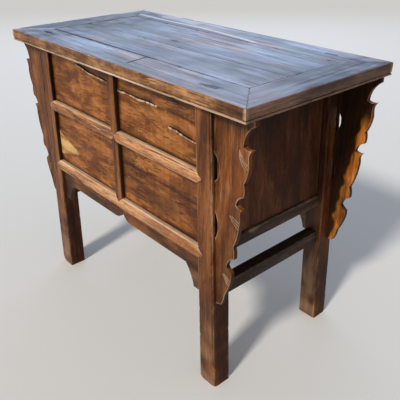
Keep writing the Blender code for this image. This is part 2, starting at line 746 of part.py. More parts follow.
def build_drawer(name, side):
    """Drawer box and its pull; side is 1 on the right and -1 on the left."""
    place = on_face(-1)
    inner_x = POST_WIDTH / 2 + RUN
    rear_depth = DRAWER_INSET + DRAWER_FRONT
    back_y = leg_out_y(MID_RAIL_TOP) - TONGUE_BACK - DRAWER_BACK_CLEAR
    outline = [(side * inner_x, DRAWER_LOW), (side * (leg_in_x(DRAWER_LOW) - RUN), DRAWER_LOW),
               (side * (leg_in_x(DRAWER_HIGH) - RUN), DRAWER_HIGH), (side * inner_x, DRAWER_HIGH)]
    front = plate("drawer_" + name + "_front", place, outline, DRAWER_INSET, rear_depth)
    pieces = {"front": front}

    def rear_y(z, into):
        return -(leg_out_y(z) - rear_depth) - into

    side_high = DRAWER_HIGH - DRAWER_SIDE_LOWER
    bottom_low = DRAWER_LOW + DRAWER_BOTTOM_RISE
    bottom_high = bottom_low + DRAWER_BOTTOM
    outer_x = drawer_side_x()
    walls = {"side_inner": (inner_x, inner_x + DRAWER_SIDE),
             "side_outer": (outer_x - DRAWER_SIDE, outer_x)}
    for wall, (low_x, high_x) in walls.items():
        def ring(x, grow, into):
            low, high = DRAWER_LOW - grow, side_high + grow
            corners = ((rear_y(low, into), low), (rear_y(high, into), high), (back_y, high), (back_y, low))
            return [Vector((side * x, y, z)) for y, z in corners]
        rings = [ring(x, 0.0, DRAWER_HOUSING - GAP) for x in (low_x, high_x)]
        pieces[wall] = loft("drawer_" + name + "_" + wall, rings)
        cut(front, loft("housing", [ring(x, GAP, DRAWER_HOUSING) for x in (low_x - GAP, high_x + GAP)]))
    span = (inner_x + DRAWER_SIDE - DRAWER_GROOVE, outer_x - DRAWER_SIDE + DRAWER_GROOVE)
    front_y = rear_y(DRAWER_LOW, DRAWER_GROOVE)

    def bottom_block(label, grow, extra):
        xs = sorted((side * (span[0] - grow), side * (span[1] + grow)))
        return block(label, in_world, (xs[0], front_y - grow, bottom_low - grow),
                     (xs[1], back_y + extra, bottom_high + grow))

    pieces["bottom"] = bottom_block("drawer_" + name + "_bottom", 0.0, 0.0)
    for host in (front, pieces["side_inner"], pieces["side_outer"]):
        cut(host, bottom_block("groove", GAP, CLEAR))
    xs = sorted((side * (inner_x + DRAWER_SIDE + GAP), side * (outer_x - DRAWER_SIDE - GAP)))
    pieces["back"] = block("drawer_" + name + "_back", in_world,
                           (xs[0], back_y - DRAWER_SIDE, bottom_high + GAP), (xs[1], back_y, side_high))
    pin = Vector((side * (inner_x + outer_x) / 2, 0.0, (DRAWER_LOW + DRAWER_HIGH) / 2 + PLATE_RADIUS / 3))
    pin.y = -(leg_out_y(pin.z) - DRAWER_INSET) - PIN_STANDOFF
    pieces["plate"], pieces["eye"], pieces["drop"] = build_pull(name, pin, front)
    return pieces, pin


def build_pull(name, pin, front):
    """Lobed plate, eye with a shank through the drawer front, and a hanging drop."""
    def shank(label, grow):
        half = SHANK / 2 + grow
        near = pin.y + (EYE_RADIUS + EYE_HOLE) / 2
        far = pin.y + PIN_STANDOFF + SHANK_LENGTH + grow
        return block(label, in_world, (pin.x - half, near, pin.z - half), (pin.x + half, far, pin.z + half))

    outline = []
    steps = 6 * PLATE_LOBES
    for i in range(steps):
        turn = math.tau * i / steps
        radius = PLATE_RADIUS - PLATE_LOBE_DEPTH * (1 - math.cos(PLATE_LOBES * turn)) / 2
        outline.append((pin.x + radius * math.cos(turn), pin.z + radius * math.sin(turn)))
    back = DRAWER_INSET - GAP
    disc = plate("pull_" + name + "_plate", on_face(-1), outline, back - PLATE_THICKNESS, back)
    cut(disc, shank("hole", GAP))
    cut(front, shank("hole", GAP))
    eye = rod("pull_" + name + "_eye", pin, EYE_RADIUS, EYE_WIDTH)
    fuse(eye, shank("shank", 0.0))
    cut(eye, rod("bore", pin, EYE_HOLE, 2 * EYE_WIDTH))

    edge = []
    steps = 12
    for i in range(steps + 1):
        share = i / steps
        swell = math.sin(math.pi * share ** DROP_BELLY_LOW) ** 2
        half = DROP_NECK + (DROP_BELLY - DROP_NECK) * swell
        half *= 1 - DROP_TAPER * share ** DROP_TAPER_POWER
        edge.append((half, pin.z + EYE_RADIUS - share * DROP_LENGTH))
    outline = [(pin.x + half, z) for half, z in edge] + [(pin.x - half, z) for half, z in reversed(edge)]
    drop = plate("pull_" + name + "_drop", in_world, outline,
                 pin.y - DROP_THICKNESS / 2, pin.y + DROP_THICKNESS / 2)
    slot_half = EYE_WIDTH / 2 + DROP_SLOT_CLEAR / 2
    cut(drop, block("slot", in_world,
                    (pin.x - slot_half, pin.y - DROP_THICKNESS, pin.z - EYE_RADIUS - DROP_SLOT_CLEAR),
                    (pin.x + slot_half, pin.y + DROP_THICKNESS, pin.z + 2 * EYE_RADIUS)))
    fuse(drop, rod("pin", pin, PIN_RADIUS, EYE_WIDTH + 2 * DROP_NECK - 2 * slot_half))
    return disc, eye, drop


# Assembly

def build():
    for old in list(bpy.data.objects):
        bpy.data.objects.remove(old)
    coffer = anchor("altar_coffer", Vector((0.0, 0.0, 0.0)))
    top = build_top()
    legs, frame, inner, shaded = {}, [], [], []
    for face, side_y in (("back", 1), ("front", -1)):
        for end, side_x in (("left", -1), ("right", 1)):
            name = face + "_" + end
            legs[face, end] = build_leg("leg_" + name, side_x, side_y, top[face])
            frame.append(build_spandrel("spandrel_" + name, side_x, side_y))
    frame += legs.values()
    mid_rails = []
    for face, side, mid_name in (("front", -1, "drawer_rail"), ("back", 1, "mid_rail")):
        pair = (legs[face, "left"], legs[face, "right"])
        above = 1 if side > 0 else 0
        mid = build_long_rail(face + "_" + mid_name, side, MID_RAIL_LOW, MID_RAIL_TOP, pair, 1, above)
        bottom = build_long_rail(face + "_bottom_rail", side, BOTTOM_RAIL_LOW, BOTTOM_RAIL_TOP, pair, 0, 1,
                                 FLOOR_THICKNESS + GAP)
        mid_rails.append(mid)
        frame += [mid, bottom, build_apron(face + "_apron", side),
                  build_post(face + "_post_upper", side, MID_RAIL_TOP, UNDERSIDE, mid, None),
                  build_post(face + "_post_lower", side, BOTTOM_RAIL_TOP, MID_RAIL_LOW, bottom, mid)]
        frame += build_panel_pair(face + "_panel_lower_", side, BOTTOM_RAIL_TOP, MID_RAIL_LOW)
    frame += build_panel_pair("back_panel_upper_", 1, MID_RAIL_TOP, UNDERSIDE - TONGUE_DEPTH)
    for end, side in (("left", -1), ("right", 1)):
        shaded += build_end(end, side, (legs["front", end], legs["back", end]))
    inner += build_runners(mid_rails)
    inner.append(build_floor())
    for piece in top.values():
        settle(piece, LACQUER, coffer)
    for pieces, finish in ((frame, WORN_WOOD), (shaded, SHADED_WOOD), (inner, BARE_WOOD)):
        for piece in pieces:
            settle(piece, finish, coffer)
    for name, side in (("left", -1), ("right", 1)):
        pieces, pin = build_drawer(name, side)
        slide = anchor("drawer_" + name + "_slide", Vector((pin.x, pin.y, DRAWER_LOW)))
        slide.parent = coffer
        for role, piece in pieces.items():
            if role == "drop":
                settle(piece, BRASS, slide, pin)
            elif role in ("plate", "eye"):
                settle(piece, BRASS, slide)
            else:
                settle(piece, WORN_WOOD if role == "front" else BARE_WOOD, slide)


build()
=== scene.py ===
import json
import math
import random
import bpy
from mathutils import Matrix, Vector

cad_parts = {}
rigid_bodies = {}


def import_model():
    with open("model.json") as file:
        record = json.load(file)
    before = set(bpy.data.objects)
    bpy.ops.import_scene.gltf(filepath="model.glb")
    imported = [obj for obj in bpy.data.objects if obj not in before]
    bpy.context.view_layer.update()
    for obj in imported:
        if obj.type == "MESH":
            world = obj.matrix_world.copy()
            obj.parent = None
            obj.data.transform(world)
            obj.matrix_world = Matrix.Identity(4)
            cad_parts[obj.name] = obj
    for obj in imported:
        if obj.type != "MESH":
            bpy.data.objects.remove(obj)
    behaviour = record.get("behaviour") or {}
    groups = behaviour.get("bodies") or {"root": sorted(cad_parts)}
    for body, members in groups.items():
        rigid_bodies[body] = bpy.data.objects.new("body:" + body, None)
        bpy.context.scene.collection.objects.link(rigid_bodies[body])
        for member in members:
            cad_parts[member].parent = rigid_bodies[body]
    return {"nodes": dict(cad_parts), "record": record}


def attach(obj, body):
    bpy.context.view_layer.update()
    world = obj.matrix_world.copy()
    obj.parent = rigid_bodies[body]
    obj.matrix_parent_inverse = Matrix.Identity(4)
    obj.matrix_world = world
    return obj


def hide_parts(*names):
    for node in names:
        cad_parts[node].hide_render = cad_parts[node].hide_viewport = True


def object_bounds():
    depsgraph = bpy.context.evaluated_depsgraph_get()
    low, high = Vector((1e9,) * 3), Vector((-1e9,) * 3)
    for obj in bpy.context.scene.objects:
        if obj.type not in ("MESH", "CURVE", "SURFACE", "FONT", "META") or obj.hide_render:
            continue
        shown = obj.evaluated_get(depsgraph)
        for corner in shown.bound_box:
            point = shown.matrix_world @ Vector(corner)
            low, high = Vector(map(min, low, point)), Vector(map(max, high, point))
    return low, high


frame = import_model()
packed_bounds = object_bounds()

from types import SimpleNamespace

import bmesh
import bpy
import numpy
from mathutils import Matrix, Vector, kdtree, noise

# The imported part, which every dressed piece is copied from
NODES = frame["nodes"]
BODY_OF = {}
for body, members in frame["record"]["behaviour"]["bodies"].items():
    for member in members:
        BODY_OF[member] = body

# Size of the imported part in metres
TOP_HALF_LENGTH, TOP_HALF_DEPTH, HEIGHT = packed_bounds[1]

# What counts as the face of the top and as its outer edges, the lean of the legs and the reach of a post
TOP_FACE = HEIGHT - 0.005
TOP_OUTER_X = TOP_HALF_LENGTH - 0.0075
TOP_OUTER_Y = TOP_HALF_DEPTH - 0.0075
LEG_X_AT_TOP = 0.4005
LEG_X_SPLAY = 0.029
POST_REACH = 0.05

# What counts as one place, as flat, as an edge, as a slant, and as a face that looks one way, more or less
MERGE = 0.00001
FLAT = math.radians(0.3)
SHARP = math.radians(25)
SMOOTH = math.radians(35)
SLANT = 0.3
FACING = 0.75
LOOKING = 0.7
STEEP = 0.6
TURNED = 0.5
SIDEWAYS = (0.5, 0.8)

# Rounding of edges, places along edges, and distances in millimetres that the materials read
BEVEL_STEPS = 3
ROOM_SHARE = 0.45
SAMPLE = 0.003
MILLIMETRES = 1000.0
FAR_FROM_EDGE = 60.0

# How far along and across its log a piece may have been cut, and a mirrored piece along the log of the first
LOG_SHIFTS = [(-20.0, 20.0), (0.05, 0.12), (-0.06, 0.06)]
MIRROR_SHIFT = (-9.0, 9.0)

ENDS = ("left", "right")
X, Y, Z = 0, 1, 2
chance = random.Random(41)


# Small helpers

def pick(piece):
    """Only this piece is selected and active."""
    bpy.ops.object.select_all(action="DESELECT")
    piece.select_set(True)
    bpy.context.view_layer.objects.active = piece


def leg_x(z):
    """Outer face of the legs on the ends."""
    return LEG_X_AT_TOP + LEG_X_SPLAY * (1 - z / HEIGHT)


def soft_step(value, start, end):
    """Smooth change from 0 at start to 1 at end."""
    share = numpy.clip((value - start) / (end - start), 0.0, 1.0)
    return share * share * (3 - 2 * share)


def at_least(least, share):
    """A share between 0 and 1, raised so that it starts from the least."""
    return least + (1 - least) * share


def way_to_line(points, line):
    """Distance of flat points from a line through several places."""
    best = numpy.full(len(points), numpy.inf)
    for start, end in zip(line, line[1:]):
        start = numpy.array(start)
        along = numpy.array(end) - start
        share = numpy.clip((points - start) @ along / (along @ along), 0.0, 1.0)
        foot = start + share[:, None] * along
        best = numpy.minimum(best, numpy.linalg.norm(points - foot, axis=1))
    return best


# Copying, softening and slicing a CAD node

def copy_node(node):
    """A merged copy of a CAD node, with its flat faces whole again."""
    mesh = NODES[node].data.copy()
    mesh.materials.clear()
    piece = bpy.data.objects.new("dressed_" + node, mesh)
    bpy.context.scene.collection.objects.link(piece)
    pick(piece)
    bpy.ops.mesh.customdata_custom_splitnormals_clear()
    bpy.ops.object.mode_set(mode="EDIT")
    bpy.ops.mesh.select_all(action="SELECT")
    bpy.ops.mesh.remove_doubles(threshold=MERGE)
    bpy.ops.mesh.dissolve_limited(angle_limit=FLAT)
    bpy.ops.object.mode_set(mode="OBJECT")
    return piece


def is_mitre(edge):
    """Whether an edge runs slantwise in plan, as the mitres of the top do."""
    run = edge.verts[1].co - edge.verts[0].co
    return min(abs(run.x), abs(run.y)) > SLANT * run.length


def is_sharp(edge):
    """Whether two faces meet sharply at an edge that is no mitre."""
    return edge.is_manifold and edge.calc_face_angle() > SHARP and not is_mitre(edge)


def edge_points(piece, shortest):
    """Points along the ridges and along the hollows of a piece."""
    ridges = []
    hollows = []
    form = bmesh.new()
    form.from_mesh(piece.data)
    for edge in form.edges:
        length = edge.calc_length()
        if not is_sharp(edge) or edge.is_convex and length < shortest:
            continue
        start, end = (vert.co for vert in edge.verts)
        count = max(1, round(length / SAMPLE))
        places = [start.lerp(end, step / count) for step in range(count + 1)]
        (ridges if edge.is_convex else hollows).extend(places)
    form.free()
    return ridges, hollows


def is_nosing(edge):
    """Whether an edge is the upper outer edge of the top."""
    middle = (edge.verts[0].co + edge.verts[1].co) / 2
    return middle.z > TOP_FACE and (abs(middle.x) > TOP_OUTER_X or abs(middle.y) > TOP_OUTER_Y)


def room_beside(edge):
    """How far the narrower of an edge's two faces reaches from it."""
    start = edge.verts[0].co
    along = (edge.verts[1].co - start).normalized()
    reaches = []
    for face in edge.link_faces:
        ways = [vert.co - start for vert in face.verts]
        reaches.append(max((way - along * way.dot(along)).length for way in ways))
    return min(reaches)


def soften(piece, width, shortest, bold=1.0):
    """Rounds the long ridges of a piece with a small bevel, as far as the faces beside them have room.

    The bevel can be bolder on the nosing of the top.
    """
    form = bmesh.new()
    form.from_mesh(piece.data)
    weight = form.edges.layers.float.new("bevel_weight_edge")
    for edge in form.edges:
        if is_sharp(edge) and edge.is_convex and edge.calc_length() > shortest:
            wanted = width * bold if is_nosing(edge) else width
            edge[weight] = min(wanted, ROOM_SHARE * room_beside(edge)) / (width * bold)
    form.to_mesh(piece.data)
    form.free()
    pick(piece)
    bpy.ops.object.modifier_add(type="BEVEL")
    bevel = piece.modifiers[-1]
    bevel.width = width * bold
    bevel.segments = BEVEL_STEPS
    bevel.limit_method = "WEIGHT"
    bevel.use_clamp_overlap = False
    bpy.ops.object.modifier_apply(modifier=bevel.name)


def cut(form, axis, place):
    """One cut straight through a form."""
    across = Vector((0, 0, 0))
    across[axis] = 1
    everything = form.verts[:] + form.edges[:] + form.faces[:]
    bmesh.ops.bisect_plane(form, geom=everything, dist=MERGE, plane_co=across * place, plane_no=across)


def slice_up(piece, step, rows):
    """Cuts the faces of a piece into a fine net, and along some more rows, so that it can be shaped."""
    form = bmesh.new()
    form.from_mesh(piece.data)
    places = numpy.array([vert.co for vert in form.verts])
    low = places.min(axis=0)
    size = places.max(axis=0) - low
    counts = [round(length / step) for length in size]
    for axis in sorted((X, Y, Z), key=lambda each: counts[each]):
        for number in range(1, counts[axis]):
            cut(form, axis, low[axis] + size[axis] * number / counts[axis])
    for axis, place in rows:
        cut(form, axis, place)
    form.to_mesh(piece.data)
    form.free()


# Reading and writing a piece's mesh as rows of numbers

def read_rows(piece, field):
    flat = numpy.empty(len(piece.data.vertices) * 3)
    piece.data.vertices.foreach_get(field, flat)
    return flat.reshape(-1, 3)


def write_places(piece, places):
    piece.data.vertices.foreach_set("co", places.ravel())
    piece.data.update()


def note(piece, name, values):
    """Keeps one number or vector per vertex for the materials."""
    kind = "FLOAT" if values.ndim == 1 else "FLOAT_VECTOR"
    field = "value" if values.ndim == 1 else "vector"
    layer = piece.data.attributes.new(name, kind, "POINT")
    layer.data.foreach_set(field, values.astype(numpy.float32).ravel())


def distances(places, targets):
    """How far each place is from the nearest target, in millimetres."""
    if not targets:
        return numpy.full(len(places), FAR_FROM_EDGE)
    tree = kdtree.KDTree(len(targets))
    for index, target in enumerate(targets):
        tree.insert(target, index)
    tree.balance()
    found = numpy.array([tree.find(place)[2] for place in places])
    return numpy.minimum(found * MILLIMETRES, FAR_FROM_EDGE)


def grain_places(places, along, lean):
    """Places in the log a piece was cut from, with the grain along the first axis."""
    others = [axis for axis in (X, Y, Z) if axis != along]
    shift = [chance.uniform(*reach) for reach in LOG_SHIFTS]
    run = places[:, along]
    log = numpy.empty_like(places)
    log[:, 0] = run + shift[0]
    log[:, 1] = places[:, others[0]] - places[:, others[0]].mean() + shift[1] + lean * run
    log[:, 2] = places[:, others[1]] - places[:, others[1]].mean() + shift[2]
    return log


def ripple(places, size, seed):
    """Slow unevenness left by the plane and by age, between 0 and 1."""
    shift = Vector((seed * 3.7, seed * 1.3, seed * 2.9))
    return numpy.array([0.5 + 0.5 * noise.noise(Vector(place) / size + shift) for place in places])


def finish_piece(piece, node):
    """Smooth shading, and the piece takes its CAD node's place."""
    pick(piece)
    bpy.ops.object.shade_smooth_by_angle(angle=SMOOTH)
    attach(piece, BODY_OF[node])
    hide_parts(node)


def paint_faces(piece, woods, chooser):
    """Gives a piece its woods, and each face the one that the chooser picks by its direction and middle."""
    for wood in woods:
        piece.data.materials.append(wood)
    if chooser:
        for face in piece.data.polygons:
            face.material_index = chooser(face.normal, face.center)


# Materials

class Bench:
    """A material or a world on the bench, and the nodes put on it."""

    def __init__(self, owner, output="ShaderNodeOutputMaterial"):
        self.owner = owner
        self.owner.use_nodes = True
        self.tree = owner.node_tree
        self.tree.nodes.clear()
        self.output = self.put(output)

    def put(self, kind, inputs=None, **settings):
        made = self.tree.nodes.new(kind)
        for name, value in settings.items():
            setattr(made, name, value)
        for name, value in (inputs or {}).items():
            socket = made.inputs[name]
            if isinstance(value, bpy.types.NodeSocket):
                self.tree.links.new(value, socket)
            else:
                socket.default_value = value
        return made

    def finish(self, inputs, kind="ShaderNodeBsdfPrincipled"):
        """Puts on the last shader, and hands over the material or the world."""
        shader = self.put(kind, inputs)
        self.tree.links.new(shader.outputs[0], self.output.inputs["Surface"])
        return self.owner

    def attribute(self, name, field="Fac"):
        return self.put("ShaderNodeAttribute", attribute_name=name).outputs[field]

    def noise(self, vector, along, across, detail, rough):
        spread = self.put("ShaderNodeMapping", {"Vector": vector, "Scale": (along, across, across)})
        made = self.put("ShaderNodeTexNoise", {
            "Vector": spread.outputs["Vector"], "Scale": 1.0, "Detail": detail, "Roughness": rough})
        return made.outputs["Fac"]

    def span(self, value, start, end, low=0.0, high=1.0):
        made = self.put("ShaderNodeMapRange", {
            "Value": value, "From Min": start, "From Max": end, "To Min": low, "To Max": high},
            interpolation_type="SMOOTHSTEP")
        return made.outputs["Result"]

    def math(self, operation, first, second=0.0, third=0.0):
        made = self.put("ShaderNodeMath", {0: first, 1: second, 2: third}, operation=operation)
        return made.outputs["Value"]

    def weigh(self, *shares):
        """The sum of several values, each times its share."""
        total = 0.0
        for value, share in shares:
            total = self.math("MULTIPLY_ADD", value, share, total)
        return total

    def product(self, total, *others):
        for other in others:
            total = self.math("MULTIPLY", total, other)
        return total

    def mix(self, factor, first, second):
        made = self.put("ShaderNodeMix", {0: factor, 6: first, 7: second}, data_type="RGBA")
        return made.outputs[2]

    def coats(self, colour, *coats):
        """A colour with others laid over it one after another, each as thick as its share."""
        for share, coat in coats:
            colour = self.mix(share, colour, coat)
        return colour

    def ramp(self, value, stops):
        made = self.put("ShaderNodeValToRGB", {"Fac": value})
        band = made.color_ramp
        while len(band.elements) < len(stops):
            band.elements.new(0.5)
        for element, (place, colour) in zip(band.elements, stops):
            element.position = place
            element.color = (*colour, 1.0)
        return made.outputs["Color"]

    def bump(self, height, strength, distance):
        made = self.put("ShaderNodeBump", {"Height": height, "Strength": strength, "Distance": distance})
        return made.outputs["Normal"]


def solid(colour, share=1.0):
    """A colour for a socket, made darker or lighter by a share."""
    return (*(part * share for part in colour), 1.0)


TORN_LIP = (0.66, 0.47, 0.31)
TORN_CRACK = (0.008, 0.003, 0.002)


def bent_grain(bench, grain):
    """The grain of a log that did not grow straight."""
    sway = bench.put("ShaderNodeMapping", {"Vector": grain, "Scale": (2.2, 9.0, 9.0)})
    drift = bench.put("ShaderNodeTexNoise", {"Vector": sway.outputs["Vector"], "Scale": 1.0, "Detail": 2.0})
    centred = bench.put("ShaderNodeVectorMath", {
        0: drift.outputs["Color"], 1: (-0.5, -0.5, -0.5)}, operation="ADD")
    bent = bench.put("ShaderNodeVectorMath", {
        0: centred.outputs["Vector"], 1: (0.0, 0.028, 0.028), 2: grain}, operation="MULTIPLY_ADD")
    return bent.outputs["Vector"]


def torn_edges(bench, colour, specks, film, drips):
    """The colour with a dark crack along each split, and with the pale lip that is torn below it."""
    split = bench.attribute("split")
    level = bench.math("ADD", bench.weigh((split, 1.0), (specks, 6.0)), -3.0)
    crack = bench.span(bench.math("ABSOLUTE", level), 0.6, 2.2, 0.95, 0.0)
    ragged = bench.span(bench.weigh((level, 1.0), (film, 16.0)), 1.0, 3.5)
    below = bench.span(level, -1.6, -0.8, 1.0, 0.0)
    lip = bench.product(ragged, below, bench.span(drips, 0.42, 0.56, 0.2, 1.0))
    return bench.coats(colour, (lip, solid(TORN_LIP)), (crack, solid(TORN_CRACK)))


def aged_wood(name, dark, middle, light, pale, dirt_and_shade, bare=None, wear_width=9.0, dirt_and_shade_width=16.0,
              rough=(0.42, 0.60), coat=0.04, shine=0.18, ring_share=0.10, ring=24.0, drip_share=0.0,
              blotch=0.0, film_run=3.2, checks=0.5, scratched=0.35, soot=0.35, torn=False, bump=0.6):
    """Old wood under worn lacquer: film left in patches, streaks, pores, dirt and painted shade in corners,
    and pale ridges.

    Drips run across the grain, checks are fine cracks along it, and torn wood also has split ledges.
    The blotch share makes the figure cloudier, and a longer film run breaks the film into shorter patches.
    """
    bench = Bench(bpy.data.materials.new(name))
    grain = bench.attribute("grain", "Vector")
    # The stain layer holds real stains and painted shade alike
    ridge, nook, mark, stain = (bench.attribute(layer) for layer in ("ridge", "nook", "mark", "stain"))
    bent = bent_grain(bench, grain)
    rings = bench.put("ShaderNodeTexWave", {
        "Vector": bent, "Scale": ring, "Distortion": 2.2, "Detail": 2.0, "Detail Scale": 1.6},
        wave_type="RINGS", rings_direction="X", wave_profile="SAW").outputs["Fac"]
    streaks = bench.noise(bent, 2.0, 70.0, 5.0, 0.68)
    fibres = bench.noise(grain, 18.0, 520.0, 2.0, 0.5)
    clouds = bench.noise(grain, 5.0, 12.0, 4.0, 0.6)
    specks = bench.noise(grain, 70.0, 160.0, 3.0, 0.6)
    film = bench.noise(bent, film_run, 24.0, 6.0, 0.66)
    drips = bench.noise(grain, 85.0, 11.0, 4.0, 0.6)
    lines = bench.noise(bent, 3.0, 80.0, 3.0, 0.6)

    figure = bench.weigh((specks, 0.25 - blotch), (streaks, 0.60 - drip_share), (drips, drip_share),
                         (rings, ring_share), (clouds, 0.15 + blotch))
    kept = bench.ramp(figure, [(0.40, dark), (0.62, middle)])
    rubbed_off = bench.ramp(figure, [(0.38, middle), (0.56, light), (0.72, pale)])
    worn_film = bench.span(film, 0.40, 0.60)
    pores = bench.span(fibres, 0.56, 0.72, 0.0, 0.65)
    sooty = bench.span(bench.noise(grain, 5.0, 7.0, 3.0, 0.6), 0.50, 0.72, 0.0, soot)
    thin = bench.math("ABSOLUTE", bench.math("ADD", lines, -0.5))
    checked = bench.product(bench.span(thin, 0.010, 0.036, checks, 0.0), bench.span(clouds, 0.46, 0.58))
    scratches = bench.span(bench.noise(bent, 9.0, 130.0, 3.0, 0.6), 0.62, 0.72, 0.0, scratched)
    # Dirt and painted shade gather close to the hollows
    dirt_and_shade_in_nooks = bench.weigh((nook, 1.0), (clouds, 1.6 * dirt_and_shade_width))
    dirt_and_shade_in_nooks = bench.span(dirt_and_shade_in_nooks, 0.8 * dirt_and_shade_width, 1.8 * dirt_and_shade_width, 0.9, 0.0)
    rubbed = bench.weigh((ridge, 1.0), (specks, 5.0), (clouds, 12.0))
    rubbed = bench.span(rubbed, 7.5, 8.5 + wear_width, 0.8, 0.0)
    rubbed = bench.product(rubbed, bench.span(stain, 0.1, 0.8, 1.0, 0.2))
    low_bare, high_bare = bare or (light, pale)
    stripped = bench.mix(bench.span(streaks, 0.38, 0.64), solid(low_bare), solid(high_bare))
    colour = bench.coats(
        kept, (worn_film, rubbed_off), (pores, solid(dark, 0.45)), (sooty, solid(dirt_and_shade, 1.6)),
        (checked, solid(dark, 0.4)), (scratches, solid(pale)), (dirt_and_shade_in_nooks, solid(dirt_and_shade)),
        (stain, solid(dirt_and_shade, 0.6)), (rubbed, solid(pale)), (mark, stripped))
    if torn:
        colour = torn_edges(bench, colour, specks, film, drips)

    sheen = bench.weigh((bench.span(figure, 0.35, 0.75, *rough), 1.0), (rubbed, 0.16), (dirt_and_shade_in_nooks, 0.10))
    relief = bench.weigh((streaks, 0.7), (fibres, -0.5), (film, -0.5), (specks, 0.3), (checked, -0.5))
    return bench.finish({
        "Base Color": colour, "Roughness": sheen, "Coat Weight": coat, "Coat Roughness": 0.22,
        "Specular IOR Level": shine, "Normal": bench.bump(relief, bump, 0.0018)})


def bloomed_and_reflecting_lacquer(name, dark, sky_reflection, warm, bloom_and_sheen, dirt_and_shade, scrape_and_sheen):
    """The table top: dark glossy lacquer, bloomed in long streaks, bluish and warm by patches, and stained;
    the bluish tone is a painted reflection of the sky.

    The bluish and the warm tone are each a pair of colours, for a thin and for a thick bloom, and the bloom
    colour on rubbed ridges is wear and a painted bluish sheen.
    """
    bench = Bench(bpy.data.materials.new(name))
    grain = bench.attribute("grain", "Vector")
    # The stain layer holds real stains and a band of painted shade
    ridge, mark, stain = (bench.attribute(layer) for layer in ("ridge", "mark", "stain"))
    streaks = bench.noise(grain, 3.0, 60.0, 5.0, 0.62)
    bands = bench.noise(grain, 1.3, 16.0, 3.0, 0.5)
    clouds = bench.noise(grain, 7.0, 14.0, 4.0, 0.6)
    fibres = bench.noise(grain, 14.0, 420.0, 2.0, 0.5)
    lines = bench.noise(grain, 2.4, 120.0, 3.0, 0.6)

    hazy = bench.weigh((streaks, 0.50), (bands, 0.30), (clouds, 0.25), (lines, 0.25))
    sky_reflection_tone, warm_tone = (
        bench.ramp(hazy, [(0.57, dark), (0.645, thin), (0.74, thick)]) for thin, thick in (sky_reflection, warm))
    patches = bench.span(bench.noise(grain, 5.0, 11.0, 3.0, 0.5), 0.40, 0.60)
    checked = bench.span(lines, 0.54, 0.62, 0.0, 0.8)
    scratches = bench.span(bench.noise(grain, 7.0, 150.0, 3.0, 0.6), 0.60, 0.70, 0.0, 0.35)
    pores = bench.span(fibres, 0.58, 0.74, 0.0, 0.5)
    blots = bench.span(bench.noise(grain, 9.0, 42.0, 2.0, 0.5), 0.64, 0.74, 0.0, 0.8)
    rubbed = bench.span(bench.weigh((ridge, 1.0), (clouds, 14.0)), 7.0, 13.0, 0.55, 0.0)
    colour = bench.coats(
        sky_reflection_tone, (patches, warm_tone), (checked, solid(dark)), (scratches, solid(scrape_and_sheen)),
        (pores, solid(dark)), (blots, solid(dirt_and_shade)), (stain, solid(dirt_and_shade)), (rubbed, solid(bloom_and_sheen)),
        (mark, solid(scrape_and_sheen)))

    sheen = bench.span(hazy, 0.4, 0.8, 0.26, 0.46)
    polish = bench.product(
        bench.span(hazy, 0.56, 0.74, 0.20, 0.92), bench.span(stain, 0.0, 1.0, 1.0, 0.0),
        bench.span(checked, 0.0, 0.75, 1.0, 0.15), bench.span(patches, 0.0, 1.0, 1.08, 0.55))
    relief = bench.weigh((streaks, 0.7), (fibres, -0.4))
    return bench.finish({
        "Base Color": colour, "Roughness": sheen, "Coat Weight": polish, "Coat Roughness": 0.2,
        "Coat IOR": 1.56, "Specular IOR Level": bench.span(stain, 0.3, 0.9, 0.5, 0.02),
        "Normal": bench.bump(relief, 0.3, 0.0012)})


def dull_brass(name):
    """Old brass, brown in the hollows."""
    bench = Bench(bpy.data.materials.new(name))
    place = bench.put("ShaderNodeTexCoord").outputs["Object"]
    clouds = bench.noise(place, 90.0, 90.0, 4.0, 0.6)
    specks = bench.noise(place, 420.0, 420.0, 3.0, 0.6)
    colour = bench.ramp(clouds, [
        (0.3, (0.10, 0.065, 0.03)), (0.52, (0.34, 0.23, 0.09)), (0.75, (0.52, 0.38, 0.17))])
    sheen = bench.span(clouds, 0.3, 0.7, 0.55, 0.30)
    return bench.finish({
        "Base Color": colour, "Roughness": sheen, "Metallic": 0.9,
        "Normal": bench.bump(specks, 0.25, 0.0006)})


PANEL_WOOD = aged_wood(
    "panel_wood", (0.060, 0.015, 0.003), (0.235, 0.070, 0.013), (0.43, 0.150, 0.032),
    (0.58, 0.27, 0.090), (0.018, 0.007, 0.003), bare=((0.40, 0.19, 0.055), (0.74, 0.46, 0.17)),
    drip_share=0.26, blotch=0.14, film_run=8.0, checks=0.7, scratched=0.6, soot=0.55, torn=True, bump=0.7)
FRAME_WOOD = aged_wood(
    "frame_wood", (0.060, 0.016, 0.004), (0.180, 0.055, 0.013), (0.31, 0.108, 0.029),
    (0.40, 0.21, 0.11), (0.016, 0.007, 0.004), bare=((0.30, 0.15, 0.08), (0.52, 0.34, 0.21)), wear_width=1.6,
    dirt_and_shade_width=5.0, ring_share=0.05, ring=16.0, checks=0.8, scratched=0.45, soot=0.5, bump=0.7)
RAIL_WOOD = aged_wood(
    "rail_wood", (0.14, 0.042, 0.012), (0.55, 0.215, 0.072), (0.86, 0.45, 0.210),
    (0.94, 0.70, 0.49), (0.030, 0.013, 0.006), bare=((0.58, 0.36, 0.21), (0.90, 0.70, 0.53)),
    wear_width=3.0, dirt_and_shade_width=6.0, ring_share=0.05, ring=18.0, checks=0.9, scratched=0.5, bump=0.8)
CARVED_WOOD = aged_wood(
    "carved_wood", (0.078, 0.019, 0.004), (0.240, 0.071, 0.013), (0.43, 0.152, 0.032),
    (0.56, 0.36, 0.21), (0.016, 0.006, 0.003), bare=((0.42, 0.25, 0.14), (0.64, 0.47, 0.34)),
    wear_width=1.2, dirt_and_shade_width=4.0, ring_share=0.04, checks=0.7, scratched=0.4, soot=0.5, bump=0.7)
